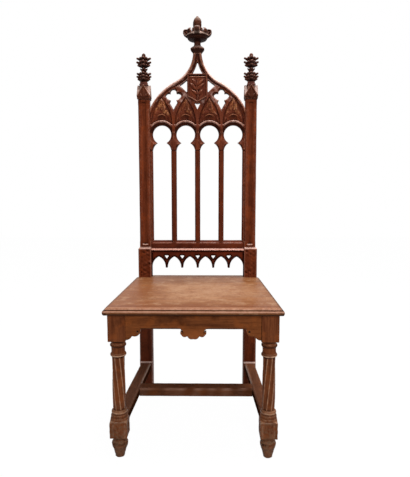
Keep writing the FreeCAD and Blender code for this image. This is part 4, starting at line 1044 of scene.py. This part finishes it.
finial_core = (
    (0, 1150), (9.4, 1150), (9.4, 1164), (10.5, 1171), (13.5, 1178), (15.5, 1185), (14, 1193), (8.6, 1199),
    (6.2, 1202), (9, 1204.5), (11, 1207.5), (10.6, 1211.5), (7.0, 1214.5), (6.2, 1217), (6.6, 1220.5),
    (12, 1225), (15.5, 1233), (14, 1241), (10, 1248), (6.2, 1254), (7.4, 1259), (6.4, 1264), (3.4, 1267.5),
    (0, 1269))
tuft_rows = (
    ((8, 1172), (20.5, 1177.5)), ((8, 1179.5), (24.4, 1186.5)), ((6, 1189), (23.6, 1197)),
    ((8, 1222.5), (20.5, 1226)), ((8, 1230), (24.4, 1237)), ((6, 1242.5), (23.6, 1250.5)))
knob_leaf = ((5, 1209), (9, 1210), (11.6, 1213))
finial_oak = oak("finial_oak", (0.036, 0.0105, 0.006), (0.074, 0.023, 0.0125), (0.26, 0.12, 0.085), "z",
                 stains=0.2, top_highlight=0.12, light=(0.15, 0.046, 0.034))
for side, sign in (("left", -1), ("right", 1)):
    middle = (sign * post_axis, head_middle)
    shape = bmesh.new()
    spun(shape, finial_core, middle)
    block(shape, middle, 26, 26, 1150, 1166)
    block(shape, middle, 31, 31, 1154, 1158.5)
    for quarter in range(4):
        turn = quarter * math.pi / 2
        for path in tuft_rows:
            inner = [(r * 0.66, z) for r, z in path]
            leaf_tongue(shape, path, middle, turn, (20, 11), (12, 7.5))
            leaf_tongue(shape, inner, middle, turn + math.pi / 4, (18, 11), (12, 8))
        leaf_tongue(shape, knob_leaf, middle, turn, (12, 7), (8, 5))
    bmesh.ops.recalc_face_normals(shape, faces=shape.faces)
    finial = cut_piece("leafy_finial_" + side, shape, 0.8, 1, crisp=1.2)
    # The foot of the stem is redder, and the right finial is painted lighter, as more light falls on it
    shaded(finial, lambda spots: np.clip((1166 - spots[:, 2]) / 4, 0, 0.7) + 0.15 * (spots[:, 0] > 0))
    fit(finial, finial_oak, "post_finial_" + side)


# Crest finial. Turned and carved from one oak block: an eight-sided collar on the stem
# of the ogee, a lipped bowl, and eight curled leaves that rise from it.
crest_centre = (0, head_middle)
collar_rings = (
    (14.6, 1262), (15, 1266), (19, 1272.5), (24.4, 1279.5), (25, 1283), (20.5, 1287.5), (15.5, 1291))
lip_height = 1328.5
bowl_outline = (
    (0, 1286), (15.5, 1286), (14.8, 1291), (12.6, 1295), (11.6, 1300), (12, 1305), (14.5, 1308.6),
    (22, 1311), (31, 1313), (34.5, 1316.5), (36.5, 1321), (40, 1325.5), (41, lip_height), (40, 1331.5),
    (35, 1334), (28, 1336), (18, 1342), (12, 1345), (0, 1345))
# Leaves: path of radius and height, widths and thicknesses from root to tip
square_leaves = (
    (((30, 1322), (39, 1326), (46, 1331), (49.3, 1338), (49, 1345), (45, 1348.6), (38, 1348.6)),
     (24, 17), (7.5, 5)),
    (((27, 1328), (33, 1333), (38, 1338), (42, 1343)), (15, 11), (14, 13)),
    (((36, 1332), (37, 1338), (38, 1343)), (12, 9), (12, 12)))
diagonal_leaves = (
    (((28, 1322), (36, 1328), (41, 1335), (42, 1343), (38, 1347)), (26, 14), (9, 5.5)),
    (((28, 1324), (33, 1331), (37, 1340)), (20, 12), (12, 10)))
inner_leaf = ((10, 1342), (16, 1344), (19, 1348), (18, 1353))


def out_from_crest(spots):
    return np.hypot(spots[:, 0] - crest_centre[0], spots[:, 1] - crest_centre[1])


def lip_and_brim(spots):
    # A painted highlight along the lip of the bowl and the brim of the collar
    out = out_from_crest(spots)
    z = spots[:, 2]
    lip = near(z, lip_height, 2) & near(out, 39.5, 3.5)
    brim = (z > 1282.5) & (z < 1288) & (out > 18)
    return (lip | brim) * 0.85


def lip_highlight_and_shade(spots):
    # A painted highlight along the lip and painted shade under it; darker on the front leaf above the lip
    # and on the outer leaves
    out = out_from_crest(spots)
    x, y, z = spots.T
    front = (np.abs(x) < 14) & (out > 40) & (y < crest_centre[1])
    lip = near(z, np.where(front, lip_height, lip_height + 1), np.where(front, 3, 2.2))
    lip = lip & (out > 34) & (out < np.where(front, 52, 42))
    under = (z > 1310.5) & (z < 1326.2)
    face = front & near(z, 1341, 6)
    dark = np.where(under, -0.12, np.where(face, -0.2, np.where(out > 43, -0.45, 0)))
    return np.where(lip, np.where(front, 1, 0.6), dark) * (0.8 + 0.4 * uneven(spots, 17, 53))


def eight_sided(shape, rings):
    # A collar of flat facets through rings of radius, measured to a flat, and height
    bmesh.ops.create_cone(shape, cap_ends=True, segments=8, radius1=1, radius2=1, depth=2)
    bmesh.ops.rotate(shape, verts=shape.verts, cent=(0, 0, 0), matrix=Matrix.Rotation(math.pi / 8, 3, "Z"))
    to_corner = mm / math.cos(math.pi / 8)
    for vert in shape.verts:
        r, z = rings[1] if vert.co.z > 0 else rings[0]
        vert.co = Vector((vert.co.x * r * to_corner, vert.co.y * r * to_corner, z * mm))
    top = max(shape.faces, key=lambda face: face.calc_center_median().z)
    for (below, _), (r, z) in zip(rings[1:], rings[2:]):
        top = bmesh.ops.extrude_discrete_faces(shape, faces=[top])["faces"][0]
        for vert in top.verts:
            vert.co = Vector((vert.co.x * r / below, vert.co.y * r / below, z * mm))
    bmesh.ops.translate(shape, verts=shape.verts, vec=(0, head_middle * mm, 0))


shape = bmesh.new()
eight_sided(shape, collar_rings)
spun(shape, bowl_outline, crest_centre, 64)
for quarter in range(4):
    turn = quarter * math.pi / 2
    for path, widths, thicks in square_leaves:
        leaf_tongue(shape, path, crest_centre, turn, widths, thicks)
    for path, widths, thicks in diagonal_leaves:
        leaf_tongue(shape, path, crest_centre, turn + math.pi / 4, widths, thicks)
for eighth in range(8):
    leaf_tongue(shape, inner_leaf, crest_centre, (eighth + 0.5) * math.pi / 4, (11, 7), (7, 5))
bmesh.ops.recalc_face_normals(shape, faces=shape.faces)
crest_oak = oak("crest_oak", (0.048, 0.015, 0.009), (0.085, 0.028, 0.016), (0.36, 0.19, 0.14), "z",
                stains=0.2, top_highlight=0.3, shade=0.7, pale=(0.5, 0.34, 0.28), light=(0.46, 0.34, 0.27))
crest = cut_piece("leafy_crest", shape, 1.0, 1, crisp=1.3)
bright(crest, "sky", lip_and_brim)
shaded(crest, lip_highlight_and_shade)
fit(crest, crest_oak, "crest_finial")


# Bud. A closed oak bud with overlapping petals and a beaded foot stands in the leaves
# of the crest on a peg.
bud_outline = (
    (0, 1340), (12.5, 1340), (13.5, 1348), (14.6, 1351), (16.2, 1353.5), (16.2, 1356.5), (14.6, 1359),
    (15.3, 1364), (15.4, 1370), (15, 1376), (13.8, 1381), (12, 1385.5), (9.4, 1389.5), (5.6, 1392.6),
    (4.4, 1394), (3.8, 1396), (0, 1397))


def petals(spots, normals):
    # Two rows of five petals, the upper row between the tips of the lower one
    x, y, z = spots.T
    angle = np.arctan2(y - crest_centre[1], x - crest_centre[0])
    lower = np.abs(np.sin(angle * 2.5))
    upper = np.abs(np.cos(angle * 2.5))
    low = ramp(z, 1359, 1362) * ramp(z + 7 * (1 - lower), 1382, 1380)
    high = ramp(z, 1374, 1380) * ramp(z, 1391, 1386)
    depth = low * (lower ** 0.5 - 0.75) * 2.0 + high * (upper ** 0.5 - 0.75) * 1.6
    return spots + normals * depth[:, None]


shape = bmesh.new()
spun(shape, bud_outline, crest_centre)
bmesh.ops.recalc_face_normals(shape, faces=shape.faces)
bud = cut_piece("petalled_bud", shape, 0.8, 1, petals)
quiet(bud, "sky", lambda spots: 0.2)
# The bud is painted lighter towards the top and darker below: painted light and shade
shaded(bud, lambda spots: ramp(spots[:, 2], 1360, 1386) * 0.7 - 0.45)
fit(bud, crest_oak, "crest_bud")


# Corner blocks and screws. Plain oak blocks are glued behind the seat rails, and steel
# screws go up through them into the seat.
block_oak = oak("plain_block_oak", (0.22, 0.13, 0.07), (0.34, 0.22, 0.13), (0.4, 0.28, 0.18), "x",
                rough=0.62)
steel = Finish(bpy.data.materials.new("dull_screw_steel"))
scratch = steel.noise(steel.node("ShaderNodeTexCoord", output="Object"), 900.0, 3.0)
tone = steel.blend(scratch, (0.22, 0.21, 0.2), (0.42, 0.4, 0.37))
screw_steel = steel.coat(tone, scratch * 0.3 + 0.3, {"Metallic": 1.0})
finishes = {"seat_screws": screw_steel}
for corner in ("front_corner_block_", "back_corner_block_"):
    finishes[corner + "left"] = finishes[corner + "right"] = block_oak
for node, finish in finishes.items():
    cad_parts[node].data.materials.clear()
    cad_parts[node].data.materials.append(finish)

scene.view_settings.view_transform = "Standard"
